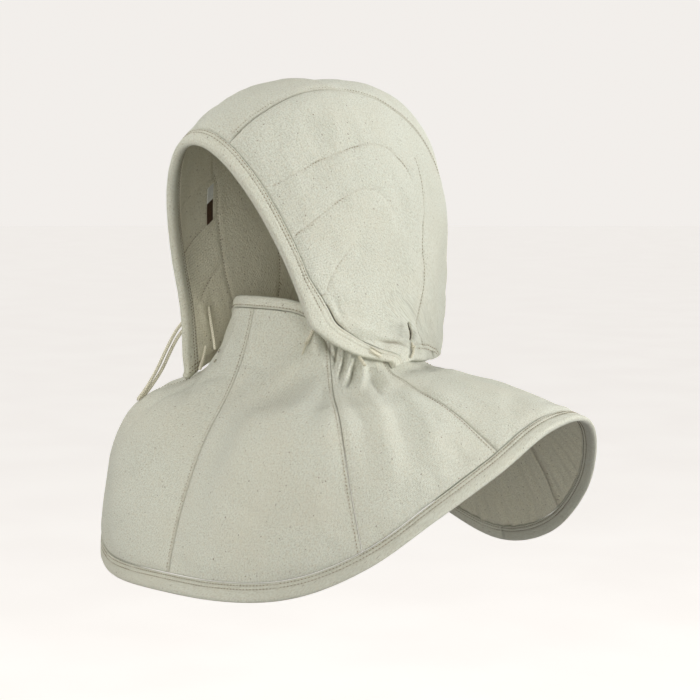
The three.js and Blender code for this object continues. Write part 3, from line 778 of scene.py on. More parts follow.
# The lining of the hood: a quilted facing behind the face edge, a plain back part, and their seams
FACING_SEAM = [(0.19, 110), (0.209, 134), (0.234, 158), (0.244, 202), (0.272, 253), (0.328, 290)]
LINING_SEAM = [(0.33, 140), (0.384, 174.3), (0.425, 193.0), (0.566, 235.5), (0.60, 250)]
lining_lines = []
for side in (1, -1):
    for seam, depth in ((FACING_SEAM, 1.2), (LINING_SEAM, 0.8)):
        lining_lines.append(hood_line(seam, side, 0.0, depth, SEAM_WIDTH, (10, 10)))

LINING_FOLLOWS = 0.9
FACING_ENDS = (0.235, 0.275)


def lining_relief(points, along, distance, depth):
    """How the lining of the hood follows the quilting: on the facing, not behind its seam."""
    seams, _ = relief_of(points, lining_lines)
    return -LINING_FOLLOWS * depth * (1 - smooth_step(*FACING_ENDS, along)) - LINING_FOLLOWS * seams


RIPPLE_TURN = math.radians(112.0)
RIPPLE_HEIGHT = 0.85
RIPPLES_FROM = (30.0, 110.0)
MANTLE_LINING_FOLLOWS = 0.7


def lining_ripples(points, angle, distance, depth):
    """Slack of the mantle's lining: ripples that run from the neck to the hem."""
    sway = 0.9 * np.sin(distance / 46.0)
    wave = np.sin(angle * RIPPLE_TURN + sway) + 0.7 * np.sin(angle * RIPPLE_TURN * 0.63 + 1.7 + 2 * sway)
    return RIPPLE_HEIGHT * wave * smooth_step(*RIPPLES_FROM, distance) - MANTLE_LINING_FOLLOWS * depth


# The gore seams: the angle, and how far they sway midway and at the hem
GORE_SEAMS = [(0, 0, 2.0), (55, -1.5, 3.0), (90, -1.0, 2.5), (160, 0, 0), (200, 0, 0), (270, 1.0, -2.5),
              (305, 1.5, -3.0)]


def seam_angle(angle, sway_top, sway_hem, share):
    """A gore seam's angle by its share of the way down."""
    return angle + sway_top * np.sin(math.pi * share) + sway_hem * share ** 2


MANTLE_DOUBLE_STITCH = 3.2
mantle_lines = []
for angle, sway_top, sway_hem in GORE_SEAMS:
    share = np.linspace(0.0, 1.0, 24)
    at = COLLAR_BINDING_WIDTH + share * (mantle.length(angle) - COLLAR_BINDING_WIDTH - HEM_BINDING_WIDTH)
    turned = seam_angle(angle, sway_top, sway_hem, share)
    mantle_lines.append(StitchedLine(mantle.read, turned, at, 0.6, 1.5, thread=False))
    radius = np.linalg.norm(mantle.read(turned, at)[0][:, :2] - [0, NECK_SET_BACK], axis=1)
    beside = turned - np.degrees(MANTLE_DOUBLE_STITCH / radius)
    mantle_lines.append(StitchedLine(mantle.read, beside, at, 0.3, 1.4))


# Materials
class Value:
    """A shader socket that can be used in sums and products."""

    def __init__(self, shader, socket):
        self.shader = shader
        self.socket = socket

    def __add__(self, other):
        return self.shader.math("ADD", self, other)

    def __radd__(self, other):
        return self.shader.math("ADD", other, self)

    def __sub__(self, other):
        return self.shader.math("SUBTRACT", self, other)

    def __rsub__(self, other):
        return self.shader.math("SUBTRACT", other, self)

    def __mul__(self, other):
        return self.shader.math("MULTIPLY", self, other)

    def __rmul__(self, other):
        return self.shader.math("MULTIPLY", other, self)


class Shader:
    """A material and its nodes."""

    def __init__(self, name):
        self.material = bpy.data.materials.new(name)
        self.material.use_nodes = True
        self.tree = self.material.node_tree
        self.surface = self.tree.nodes["Principled BSDF"]

    def node(self, kind, settings=None, inputs=(), output=0):
        """Adds a node, sets its settings, then its inputs: values or links, by number or name."""
        node = self.tree.nodes.new(kind)
        for key, value in (settings or {}).items():
            setattr(node, key, value)
        pairs = inputs.items() if isinstance(inputs, dict) else enumerate(inputs)
        for key, value in pairs:
            self.connect(node.inputs[key], value)
        return Value(self, node.outputs[output])

    def connect(self, socket, value):
        if isinstance(value, Value):
            self.tree.links.new(value.socket, socket)
        else:
            socket.default_value = value

    def set(self, **inputs):
        for name, value in inputs.items():
            self.connect(self.surface.inputs[name.replace("_", " ")], value)

    def math(self, operation, *values):
        return self.node("ShaderNodeMath", {"operation": operation}, values)

    def object_place(self):
        return self.node("ShaderNodeTexCoord", {}, (), 3)

    def split(self, vector):
        """The first two numbers of a vector."""
        return [self.node("ShaderNodeSeparateXYZ", {}, [vector], number) for number in (0, 1)]

    def attribute(self, name, output):
        return self.node("ShaderNodeAttribute", {"attribute_name": name}, (), output)

    def noise(self, place, scale, detail=2.0, rough=0.5):
        return self.node("ShaderNodeTexNoise", {}, {"Vector": place, "Scale": scale, "Detail": detail,
                                                    "Roughness": rough})

    def mix(self, share, first, second):
        return self.node("ShaderNodeMix", {"data_type": "RGBA"}, {0: share, 6: first, 7: second}, 2)

    def between(self, value, low, high, start=0.0, end=1.0):
        return self.node("ShaderNodeMapRange", {"interpolation_type": "SMOOTHSTEP"},
                         {0: value, 1: low, 2: high, 3: start, 4: end})

    def bump(self, height, distance, strength):
        return self.node("ShaderNodeBump", {}, {"Height": height, "Distance": distance, "Strength": strength})


def linear(red, green, blue):
    """A colour given as it looks on a screen, 0 to 255."""
    def one(value):
        share = value / 255.0
        return share / 12.92 if share <= 0.04045 else ((share + 0.055) / 1.055) ** 2.4
    return (one(red), one(green), one(blue), 1.0)


THREAD_PITCH = 0.95
SLUB_STRETCH = 0.06
SLUB_SCALE = 0.8
FLECKS_FROM = (0.79, 0.83)
SEED_COLOUR = linear(112, 92, 66)
DUST_COLOUR = linear(150, 132, 100)
STITCH_SHADE = linear(140, 124, 98)
# Colour of the painted shade in the bottoms of narrow folds
PAINTED_CREASE_COLOUR = linear(112, 100, 76)


def canvas(name, base, shade, warm, fleck_amount):
    """Unbleached plain weave with its yarn, slubs and seed flecks; the bottoms of narrow folds get painted
    shade.
    """
    cloth = Shader(name)
    base, shade, warm = (linear(*color) for color in (base, shade, warm))
    place = cloth.attribute("cloth", 1)
    where = cloth.object_place()
    across, down = cloth.split(place)
    turn = math.pi / THREAD_PITCH
    weave = cloth.math("SINE", across * turn) * cloth.math("SINE", down * turn)
    stretched = [cloth.node("ShaderNodeVectorMath", {"operation": "MULTIPLY"}, {0: place, 1: stretch})
                 for stretch in ((1.0, SLUB_STRETCH, 1.0), (SLUB_STRETCH, 1.0, 1.0))]
    slub = cloth.noise(stretched[0], SLUB_SCALE) + cloth.noise(stretched[1], SLUB_SCALE)
    fibre = cloth.noise(place, 0.62, 2.0, 0.75)
    cloud = cloth.noise(where, 14.0, 3.0, 0.6)
    patch = cloth.noise(where, 5.0, 2.0, 0.5)
    mottle = cloth.noise(place, 0.33, 2.0, 0.6)
    light = cloth.between(fibre * 0.9 + slub * 0.05, 0.34, 0.60)
    tone = cloth.mix(light, shade, base)
    tone = cloth.mix(cloth.between(mottle, 0.45, 0.70, 0.0, 0.45), tone, warm)
    tone = cloth.mix(cloth.between(cloud, 0.35, 0.75, 0.0, 0.32), tone, warm)
    tone = cloth.mix(cloth.between(patch, 0.40, 0.75, 0.0, 0.22), tone, shade)
    seeds = cloth.noise(place, 0.42, 0.0, 0.4)
    dust = cloth.noise(place, 0.80, 0.0, 0.4)
    fleck = cloth.between(seeds, FLECKS_FROM[0] - fleck_amount, FLECKS_FROM[1] - fleck_amount, 0.0, 0.75)
    tone = cloth.mix(fleck, tone, SEED_COLOUR)
    tone = cloth.mix(cloth.between(dust, 0.72, 0.80, 0.0, 0.60), tone, DUST_COLOUR)
    stitched = cloth.attribute("stitched", 2)
    tone = cloth.mix(cloth.between(stitched, 0.25, 1.0, 0.0, 0.22), tone, STITCH_SHADE)
    # Painted shade: the bottoms of narrow folds are darkened in the colour
    painted_crease_mask = cloth.attribute("painted_crease_shade", 2)
    tone = cloth.mix(cloth.between(painted_crease_mask, 0.1, 1.0, 0.0, 0.62), tone, PAINTED_CREASE_COLOUR)
    height = weave * 0.3 + fibre * 1.5 + mottle * 1.2 + slub * 0.12
    cloth.set(Base_Color=tone, Roughness=0.92, Normal=cloth.bump(height, 0.0007, 0.9))
    cloth.surface.inputs["Specular IOR Level"].default_value = 0.18
    cloth.surface.inputs["Sheen Weight"].default_value = 0.12
    cloth.surface.inputs["Sheen Roughness"].default_value = 0.6
    return cloth.material


def plain(name, color, second, scale, roughness, bump=0.0003):
    """A yarn, tape or leather finish, or the painted shadow of a slit, with a fine grain."""
    stuff = Shader(name)
    color, second = linear(*color), linear(*second)
    grit = stuff.noise(stuff.object_place(), scale, 3.0, 0.6)
    stuff.set(Base_Color=stuff.mix(stuff.between(grit, 0.35, 0.65), color, second), Roughness=roughness,
              Normal=stuff.bump(grit, bump, 0.8))
    stuff.surface.inputs["Specular IOR Level"].default_value = 0.25
    return stuff.material


BRAID_STRANDS = 4.0
BRAID_SLANT = 2.6


def braid(name, color, second):
    """Round cotton braid: strands that cross at a slant. cloth holds turn and length."""
    stuff = Shader(name)
    color, second = linear(*color), linear(*second)
    place = stuff.attribute("cloth", 1)
    around, down = stuff.split(place)
    one = stuff.math("SINE", around * BRAID_STRANDS + down * BRAID_SLANT)
    two = stuff.math("SINE", around * BRAID_STRANDS - down * BRAID_SLANT)
    strands = stuff.math("MAXIMUM", one, two)
    fuzz = stuff.noise(stuff.object_place(), 900.0)
    share = stuff.between(strands * 0.5 + fuzz * 0.5, 0.1, 0.8)
    stuff.set(Base_Color=stuff.mix(share, second, color), Roughness=0.85,
              Normal=stuff.bump(strands * 0.6 + fuzz * 0.5, 0.0003, 0.8))
    stuff.surface.inputs["Specular IOR Level"].default_value = 0.2
    return stuff.material


canvas_outside = canvas("canvas", (218, 221, 209), (190, 190, 175), (210, 205, 186), 0.0)
canvas_inside = canvas("canvas_lining", (230, 228, 209), (202, 199, 178), (222, 215, 190), 0.01)
canvas_bound = canvas("canvas_binding", (222, 224, 211), (197, 196, 179), (213, 208, 188), 0.0)
YARN_GRAIN = 1400.0
thread_finish = plain("sewing_thread", (172, 162, 138), (130, 116, 90), YARN_GRAIN, 0.8, 0.0001)
dark_thread = plain("lining_thread", (132, 112, 80), (96, 78, 52), YARN_GRAIN, 0.8, 0.0001)
pale_thread = plain("buttonhole_thread", (226, 223, 205), (190, 184, 160), YARN_GRAIN, 0.8, 0.0001)
braid_finish = braid("cotton_braid", (228, 225, 207), (184, 177, 152))
tape_finish = plain("white_tape", (222, 224, 222), (196, 198, 194), 1800.0, 0.8, 0.0001)
patch_finish = plain("brown_patch", (78, 56, 40), (48, 34, 26), 700.0, 0.6)
# A dark lens of painted shadow for the inside of the buttonholes and eyelets
painted_slit_shadow = plain("slit_shadow", (58, 50, 38), (40, 34, 26), 600.0, 0.95)


# Threads, cords and buttonholes
TUBE_SIDES = 12


def tube(name, line, radius, *nodes):
    """A braided cord along a line of points in metres, with rounded ends."""
    line = np.asarray(line, float)
    tangent = np.gradient(line, axis=0)
    tangent /= np.linalg.norm(tangent, axis=1, keepdims=True)
    side = np.cross(tangent[0], [0, 0, 1.0])
    side /= np.linalg.norm(side)
    sides_at = []
    for t in tangent:
        side = side - t * (side @ t)
        side /= np.linalg.norm(side)
        sides_at.append(side)
    sides_at = np.array(sides_at)
    other = np.cross(tangent, sides_at)
    steps = np.concatenate([[0], np.cumsum(np.linalg.norm(np.diff(line, axis=0), axis=1))])
    size = np.sqrt(np.clip(1 - (1 - np.minimum(steps, radius) / radius) ** 2, 0.02, 1))
    size *= np.sqrt(np.clip(1 - (1 - np.minimum(steps[-1] - steps, radius) / radius) ** 2, 0.02, 1))
    turn = np.linspace(0, 2 * math.pi, TUBE_SIDES, endpoint=False)
    ring = np.cos(turn)[None, :, None] * sides_at[:, None] + np.sin(turn)[None, :, None] * other[:, None]
    vertices = line[:, None] + ring * (radius * size)[:, None, None]
    faces = []
    last = (len(line) - 1) * TUBE_SIDES
    for i in range(0, last, TUBE_SIDES):
        for j in range(TUBE_SIDES):
            k = (j + 1) % TUBE_SIDES
            faces.append((i + j, i + k, i + TUBE_SIDES + k, i + TUBE_SIDES + j))
    faces.append(tuple(range(TUBE_SIDES))[::-1])
    faces.append(tuple(range(last, last + TUBE_SIDES)))
    piece = mesh_object(name, vertices.reshape(-1, 3), faces)
    place = np.stack(np.broadcast_arrays(turn[None, :], steps[:, None] / MM, 0.0), axis=-1)
    add_vectors(piece, "cloth", place.reshape(-1, 3))
    return finish_piece(piece, braid_finish, "cotton_cord", *nodes)


STITCH_PITCH = 3.4
STITCH_LENGTH = 2.0
STITCH_RADIUS = 0.40


def read_along(line, steps, at):
    """The point or normal at one length along a line."""
    return np.array([np.interp(at, steps, line[:, k]) for k in range(3)])


def stitch_shapes(points, normals, lift, pitch=STITCH_PITCH, length=STITCH_LENGTH, radius=STITCH_RADIUS):
    """Small rounded stitches along a line: vertices and faces in millimetres."""
    steps = np.concatenate([[0], np.cumsum(np.linalg.norm(np.diff(points, axis=0), axis=1))])
    vertices, faces = [], []
    starts = np.arange(pitch / 2, steps[-1] - length, pitch)
    first = 0
    for start in starts:
        ends = [read_along(points, steps, start + share * length) for share in (0, 0.5, 1)]
        up = read_along(normals, steps, start + length / 2)
        up /= np.linalg.norm(up)
        along = ends[2] - ends[0]
        along /= max(np.linalg.norm(along), 1e-9)
        side = np.cross(up, along)
        base = ends[1] + up * lift
        low = radius * 1.6
        vertices += [ends[0] + up * (lift - low), ends[2] + up * (lift - low)]
        for share in (-0.30, 0.30):
            centre = base + along * share * length
            vertices += [centre + way * radius for way in (up, side, -up, -side)]
        a, b = first + 2, first + 6
        for j in range(4):
            k = (j + 1) % 4
            faces += [(a + j, a + k, b + k, b + j), (first, a + k, a + j), (first + 1, b + j, b + k)]
        first += 10
    return vertices, faces


def sew(name, rows, material, **sizes):
    """Joins many stitch rows into one piece. rows holds (points, normals, lift)."""
    vertices, faces = [], []
    for points, normals, lift in rows:
        more, sides = stitch_shapes(points, normals, lift, **sizes)
        faces += [tuple(i + len(vertices) for i in face) for face in sides]
        vertices += more
    finish_piece(mesh_object(name, np.array(vertices) * MM, faces), material, "canvas_binding")


def slit(name, points, normals, half_width, lift, material):
    """A narrow lens that lies on a surface along a line of points in millimetres."""
    count = len(points)
    share = np.linspace(0, 1, count)
    along = np.gradient(points, axis=0)
    side = np.cross(normals, along)
    side /= np.linalg.norm(side, axis=1, keepdims=True)
    wide = half_width * np.maximum(np.sin(math.pi * share), 0.08)[:, None] ** 0.6
    rings = [points + normals * (lift + up) + side * wide * out
             for out, up in ((-1, 0.0), (-0.5, 0.3), (0.5, 0.3), (1, 0.0), (0, -0.6))]
    vertices = np.stack(rings, axis=1)
    faces = grid_quads(count, 5, 0, False)
    start = np.arange(count - 1) * 5
    back = np.stack([start + 4, start + 9, start + 5, start], axis=1)
    faces = [tuple(face) for face in np.concatenate([faces, back])]
    faces += [tuple(range(5))[::-1], tuple((count - 1) * 5 + k for k in range(5))]
    finish_piece(mesh_object(name, vertices.reshape(-1, 3) * MM, faces), material, "canvas_binding")


def knot_line(centre, size):
    """A pulled-tight overhand knot in metres."""
    t = np.linspace(0, 2 * math.pi, 48)
    shape = np.stack([np.sin(t) + 2 * np.sin(2 * t), np.cos(t) - 2 * np.cos(2 * t),
                      -1.1 * np.sin(3 * t)], axis=1)
    return np.array(centre) + shape / 3 * size


# Soft folds of the mantle: the ends of each ridge or valley as (angle, distance), then its
# half width and its height in millimetres, a valley below zero
MANTLE_FOLDS = [
    ((58.0, 50), (150.0, 62), 17.0, -7.5),
    ((126.0, 60), (242.0, 58), 14.0, -4.0),
    ((232.0, 58), (300.0, 64), 14.0, -4.0),
    ((47.0, 18), (57.5, 50), 2.0, -4.2),
    ((50.5, 18), (58.5, 44), 3.0, 2.6),
    ((44.0, 20), (50.5, 62), 4.5, 2.4),
    ((60.5, 28), (55.8, 60), 2.0, -4.0),
    ((63.0, 34), (56.5, 78), 2.4, 3.6),
    ((65.2, 36), (57.2, 74), 1.9, -5.0),
    ((68.2, 38), (58.6, 84), 2.4, 4.2),
    ((71.5, 40), (60.4, 86), 2.1, -5.0),
    ((75.0, 42), (64.0, 98), 4.0, 3.6),
    ((79.0, 44), (71.0, 104), 4.5, -3.4),
    ((84.0, 48), (79.0, 96), 5.0, 2.4),
    ((41.0, 34), (33.0, 100), 7.0, -2.0),
    ((49.0, 60), (38.0, 140), 9.0, 2.4),
    ((52.0, 82), (43.0, 170), 8.0, -2.2),
    ((62.0, 90), (60.0, 215), 10.0, -3.0),
    ((68.0, 92), (66.0, 225), 11.0, 3.0),
    ((76.0, 92), (71.0, 215), 12.0, -2.6),
    ((83.0, 96), (77.0, 205), 11.0, 2.4),
    ((92.0, 70), (96.0, 150), 9.0, 1.6),
    ((25.0, 120), (21.0, 260), 14.0, 2.6),
    ((12.0, 110), (10.0, 250), 14.0, -2.4),
    ((345.0, 90), (335.0, 230), 13.0, 2.6),
    ((330.0, 80), (322.0, 200), 9.0, -2.4),
    ((318.0, 110), (312.0, 235), 9.0, 2.2),
    ((300.0, 80), (296.0, 200), 10.0, -2.4),
    ((285.0, 90), (283.0, 190), 11.0, 2.2),
    ((262.0, 80), (262.0, 150), 10.0, -1.8),
    ((240.0, 90), (238.0, 190), 12.0, 2.4),
    ((222.0, 90), (224.0, 190), 12.0, -2.4),
    ((205.0, 110), (208.0, 240), 12.0, 2.0),
    ((188.0, 110), (190.0, 240), 11.0, -2.2),
    ((174.0, 110), (172.0, 240), 10.0, 2.2),
    ((158.0, 90), (155.0, 220), 11.0, -2.4),
    ((143.0, 90), (140.0, 200), 12.0, 2.4),
    ((126.0, 90), (124.0, 180), 12.0, -2.2),
    ((110.0, 80), (110.0, 160), 11.0, 2.0),
]

# Folds of the hood, as (along, distance) pairs
HOOD_FOLDS = [
    ((0.270, 300), (0.405, 331), 3.2, 2.6),
    ((0.262, 309), (0.385, 338), 3.2, -3.0),
    ((0.190, 278), (0.350, 299), 5.0, 2.6),
    ((0.215, 266), (0.330, 288), 4.0, -1.6),
    ((0.190, 256), (0.285, 270), 4.2, -2.0),
    ((0.150, 238), (0.190, 264), 4.2, -2.0),
    ((0.140, 282), (0.240, 300), 4.2, -1.8),
    ((0.560, 262), (0.455, 300), 4.0, 1.8),
    ((0.640, 262), (0.560, 300), 4.0, 1.6),
    ((0.100, -235), (0.160, -295), 5.0, -1.8),
    ((0.170, -240), (0.220, -300), 6.0, 1.6),
    ((0.620, 170), (0.640, 240), 9.0, 1.4),
    ((0.800, 150), (0.820, 230), 9.0, -1.4),
    ((0.620, -170), (0.640, -240), 9.0, 1.4),
    ((0.800, -150), (0.820, -230), 9.0, -1.4),
]


# Folds narrower and deeper than this get painted shade at the bottom
CREASE_DEPTH = 2.4
CREASE_WIDTH = 3.8
CREASE_NARROWER = 0.75
FOLD_POINTS = 30
FOLD_ENDS_KEEP = 0.35


def fold_lift(read, folds, points):
    """The outward lift of soft folds at each point."""
    lift = np.zeros(points.shape[:-1])
    share = np.linspace(0, 1, FOLD_POINTS)
    for start, end, width, height in folds:
        line, _ = read(start[0] + (end[0] - start[0]) * share, start[1] + (end[1] - start[1]) * share)
        gap = np.linalg.norm(points[..., None, :] - line, axis=-1)
        nearest = gap.argmin(axis=-1)
        distance = gap.min(axis=-1)
        strength = np.maximum(np.sin(share[nearest] * math.pi) ** 0.6, FOLD_ENDS_KEEP)
        off = np.where((nearest == 0) | (nearest == FOLD_POINTS - 1), FOLD_ENDS_KEEP, 1.0)
        lift += height * off * strength * np.exp(-(distance / width) ** 2)
    return lift


def painted_crease_shade_of(read, folds, points):
    """How near each point is to the bottom of a narrow fold, 0 to 1: where the shade is painted."""
    narrow = [(start, end, width * CREASE_NARROWER, 1.0) for start, end, width, height in folds
              if height < -CREASE_DEPTH and width < CREASE_WIDTH]
    return np.clip(fold_lift(read, narrow, points), 0, 1) ** 2


def edge_dip(points, depth, width):
    """A dip along all four edges of a grid of points, in millimetres."""
    near = []
    for axis in (0, 1):
        cell = np.median(np.linalg.norm(np.diff(points, axis=axis), axis=2))
        steps = np.arange(points.shape[axis])
        near.append(np.exp(-(np.minimum(steps, steps[::-1]) * cell / width) ** 2))
    return depth * (near[0][:, None] + near[1][None, :]).clip(0, 1)


EDGE_DIP = 0.45
EDGE_DIP_WIDTH = 1.3
STILL_EDGE_WIDTH = 4.0
OTHER_PLACE = 300.0
LINING_SWELL = 0.25


def padded_panel(name, read, first, second, padding, lines, folds, lining, swell, limits):
    """One padded panel over a grid of surface coordinates. lining gives the relief of its inner
    face, swell the share of the simulated move it takes, and limits the largest move."""
    points, normals = read(first, second)
    depth, near = relief_of(points, lines)
    folded = fold_lift(read, folds, points)
    dip = edge_dip(points, EDGE_DIP, EDGE_DIP_WIDTH)
    lift = depth + folded + 0.55 * slack.at(points) + 0.20 * crumple.at(points) - dip
    move = np.zeros_like(points)
    if SIMULATE:
        held = np.clip(near * 1.4 + 0.04, 0, 1)
        move = blow_up(name + "_sim", points, normals, held, limits) * swell
        move = move * (1 - edge_dip(points, 1.0, STILL_EDGE_WIDTH)[..., None])
    outer = points + normals * lift[..., None] + move
    opposite = folded * 0.9 + 0.5 * slack.at(points) + dip
    opposite = opposite + 0.35 * crumple.at(points + OTHER_PLACE) + lining(points, first, second, depth)
    inner = points - normals * padding + normals * opposite[..., None] + move * LINING_SWELL
    # The bottoms of narrow folds get painted shade
    piece = padded_shell(name + "_cloth", outer, inner, cloth_lengths(points), near,
                         painted_crease_shade=painted_crease_shade_of(read, folds, points))
    finish_piece(piece, canvas_outside, "canvas", name)
    piece.data.materials.append(canvas_inside)
    inside = np.zeros(len(piece.data.polygons), np.int32)
    quads = (points.shape[0] - 1) * (points.shape[1] - 1)
    inside[quads:2 * quads] = 1
    piece.data.polygons.foreach_set("material_index", inside)


# Hood panels
ALONG_CELLS = 150
PANEL_CELLS = 104
STRIP_CELLS = 36
LACED_PANEL_CELLS = (190, 140)


def hood_panel(name, along_cells, cells, line_from, line_to, limits=5.0):
    """A panel from behind the face binding to the hem, between two lines of the hood."""
    columns = np.linspace(0, 1, cells + 1)
    down, across = np.meshgrid(np.linspace(0, 1, along_cells + 1), columns, indexing="ij")
    distance = line_from(0.0) + (line_to(0.0) - line_from(0.0)) * columns
    start = binding_share(distance) * (1 + 2 * SEAM_GAP / FACE_BINDING_WIDTH)
    along = start + (1 - start) * down
    distance = line_from(along) + (line_to(along) - line_from(along)) * across
    padded_panel(name, hood.read, along, distance, HOOD_PADDING, hood_lines, HOOD_FOLDS,
                 lining_relief, 0.5, limits)


hood_panel("hood_left_panel", *LACED_PANEL_CELLS,
           lambda along: hood.seam(along) + SEAM_GAP / 2, lambda along: hood.hem(along, 1))
hood_panel("hood_right_panel", ALONG_CELLS, PANEL_CELLS,
           lambda along: -hood.seam(along) - SEAM_GAP / 2, lambda along: -hood.hem(along, -1))
hood_panel("hood_centre_strip", ALONG_CELLS, STRIP_CELLS,
           lambda along: -hood.seam(along) + SEAM_GAP / 2, lambda along: hood.seam(along) - SEAM_GAP / 2, 3.0)


# Bindings: cloth folded round an edge, with one or two rows of stitches
BINDING_ROWS = np.array([0, .008, .03, .065, .11, .17, .24, .32, .40, .48, .56, .63, .69, .74, .79,
                         .84, .88, .92, .96, 1.0])
BINDING_ROLL = 0.30
STITCH_DIP = 0.75
STITCH_DIP_WIDTH = 1.1
STITCH_ABOVE = 0.30
INSIDE_DIP = 0.55
INSIDE_STITCH_ABOVE = 0.25


def folded_binding(name, edge, columns, padding, width, wrap, stitches, sewn_to=1.0):
    """A band folded round an edge, and its stitch rows outside and inside. edge gives the middle
    of the padding and its normal, by column and share; stitches are distances from the edge."""
    share, column = np.meshgrid(BINDING_ROWS, columns, indexing="xy")
    middle, normal = edge(column, share)
    half = padding / 2 + BINDING_CLOTH
    thick = half * np.sqrt(np.clip(1 - (1 - np.minimum(share / BINDING_ROLL, 1)) ** 2, 0.0, 1))
    from_stitch = [np.abs(share * width - at) for at in stitches]
    dip = sum(STITCH_DIP * np.exp(-(gap / STITCH_DIP_WIDTH) ** 2) for gap in from_stitch)
    dip = dip + 0.6 * smooth_step(0.97, 1.0, share)
    near = np.maximum.reduce([np.exp(-(gap / 0.8) ** 2) for gap in from_stitch])
    wave = 0.30 * pucker.at(middle * 0.8) * smooth_step(0.15, 0.6, share)
    wave = wave + 0.35 * crumple.at(middle)
    out = np.maximum(thick - dip * (thick / half) + wave * (thick / half), 0.02)
    back = np.maximum(thick - 0.7 * dip * (thick / half) - 0.6 * wave * (thick / half), 0.02)
    outer = middle + normal * out[..., None]
    inner = middle - normal * back[..., None]
    piece = padded_shell(name + "_fold", outer, inner, cloth_lengths(outer), near, wrap)
    finish_piece(piece, canvas_bound, "canvas_binding", name)
    outside, inside = [], []
    for at in stitches:
        centre, up = edge(columns, np.full(len(columns), at / width))
        if wrap:
            centre, up = np.vstack([centre, centre[:1]]), np.vstack([up, up[:1]])
        keep = slice(0, int(len(centre) * sewn_to))
        outside.append((centre[keep], up[keep], half - STITCH_DIP + STITCH_ABOVE))
        inside.append((centre, -up, half - INSIDE_DIP + INSIDE_STITCH_ABOVE))
    return outside, inside


FACE_COLUMNS = 250
FACE_STITCHES = (12.4, 15.6)


def face_edge(column, share):
    """The face opening's edge from the right hem over the brow to the left hem."""
    column, share = np.broadcast_arrays(np.asarray(column, float), np.asarray(share, float))

    def distance_at(along):
        right, left = -hood.hem(along, -1), hood.hem(along, 1)
        return np.where(column < 0.5, right * (1 - 2 * column), left * (2 * column - 1))

    along = share * binding_share(distance_at(0.0))
    points, normal = hood.read(along, distance_at(along))
    return points - normal * HOOD_PADDING / 2, normal


SEWN_TO_SLIT = 0.835
thread_rows, inside_rows = folded_binding(
    "face_binding", face_edge, np.linspace(0, 1, FACE_COLUMNS + 1), HOOD_PADDING, FACE_BINDING_WIDTH, False,
    FACE_STITCHES, SEWN_TO_SLIT)


# Mantle gores
GORE_WIDTH_RADIUS = 190.0


def gore_panel(name, number, cell):
    """One gore of the mantle, from its seam to the next."""
    turn_from, top_from, hem_from = GORE_SEAMS[number]
    turn_to, top_to, hem_to = GORE_SEAMS[(number + 1) % len(GORE_SEAMS)]
    turn_to = turn_to + (360 if turn_to < turn_from else 0)
    middle = (turn_from + turn_to) / 2
    length = float(mantle.length(middle)) - COLLAR_BINDING_WIDTH - HEM_BINDING_WIDTH - 4 * SEAM_GAP
    width = np.radians(turn_to - turn_from) * GORE_WIDTH_RADIUS
    across, down = np.meshgrid(even(width, cell), even(length, cell), indexing="ij")
    start = seam_angle(turn_from, top_from, hem_from, down)
    end = seam_angle(turn_to, top_to, hem_to, down)
    angle = start + (end - start) * across
    top = COLLAR_BINDING_WIDTH + 2 * SEAM_GAP
    distance = top + (mantle.length(angle) - HEM_BINDING_WIDTH - 2 * SEAM_GAP - top) * down
    points, _ = mantle.read(angle, distance)
    reach = np.linalg.norm(points[..., :2] - [0, NECK_SET_BACK], axis=-1)
    inset = np.degrees(SEAM_GAP / 2 / reach)
    angle = angle + np.where(across == 0, inset, 0) - np.where(across == 1, inset, 0)
    padded_panel(name, mantle.read, angle, distance, MANTLE_PADDING, mantle_lines, MANTLE_FOLDS,
                 lining_ripples, 0.55, 4.5)


GORE_NAMES = ["mantle_front_left", "mantle_shoulder_left", "mantle_back_left", "mantle_back_centre",
              "mantle_back_right", "mantle_shoulder_right", "mantle_front_right"]
for number, gore_name in enumerate(GORE_NAMES):
    gore_panel(gore_name, number, GATHERED_CELL if number < 2 else CELL)


def mantle_edge(distance_at):
    """The edge of the mantle for a binding; distance_at gives the distance from the collar's top."""
    def edge(angle, share):
        points, normal = mantle.read(angle, distance_at(angle, share))
        points = points - normal * MANTLE_PADDING / 2
        return points + normal * fold_lift(mantle.read, MANTLE_FOLDS, points)[..., None] * 0.8, normal
    return edge


COLLAR_STITCHES = (9.6,)
HEM_STITCHES = (12.6, 16.2)
for name, place, turns, width, stitches in (
        ("collar_binding", lambda angle, share: share * COLLAR_BINDING_WIDTH, np.arange(180, 540, 2.0),
         COLLAR_BINDING_WIDTH, COLLAR_STITCHES),
        ("mantle_binding", lambda angle, share: mantle.length(angle) - share * HEM_BINDING_WIDTH,
         np.arange(180, 540, 1.0), HEM_BINDING_WIDTH, HEM_STITCHES)):
    outside, inside = folded_binding(name, mantle_edge(place), turns, MANTLE_PADDING, width, True, stitches)
    thread_rows += outside
    inside_rows += inside


# Stitches along the quilting and the seams, on the outside and on the lining
STITCH_LIFT = 0.28
INSIDE_STITCH_LIFT = 0.25
QUILTING_SEEN_INSIDE = 44.0
RIGHT_CORNER_INSETS = (5.0, 8.0)

for lines, read, folds in ((hood_lines, hood.read, HOOD_FOLDS), (mantle_lines, mantle.read, MANTLE_FOLDS)):
    for line in lines:
        if line.thread:
            low, high = line.fade
            keep = (line.at > low * 0.4) & (line.at < line.length - high * 0.55)
            points, normals = line.points[keep], line.normals[keep]
            lift = fold_lift(read, folds, points)
            thread_rows.append((points + normals * lift[:, None], normals, STITCH_LIFT - line.depth))
sew("stitches", thread_rows, thread_finish)

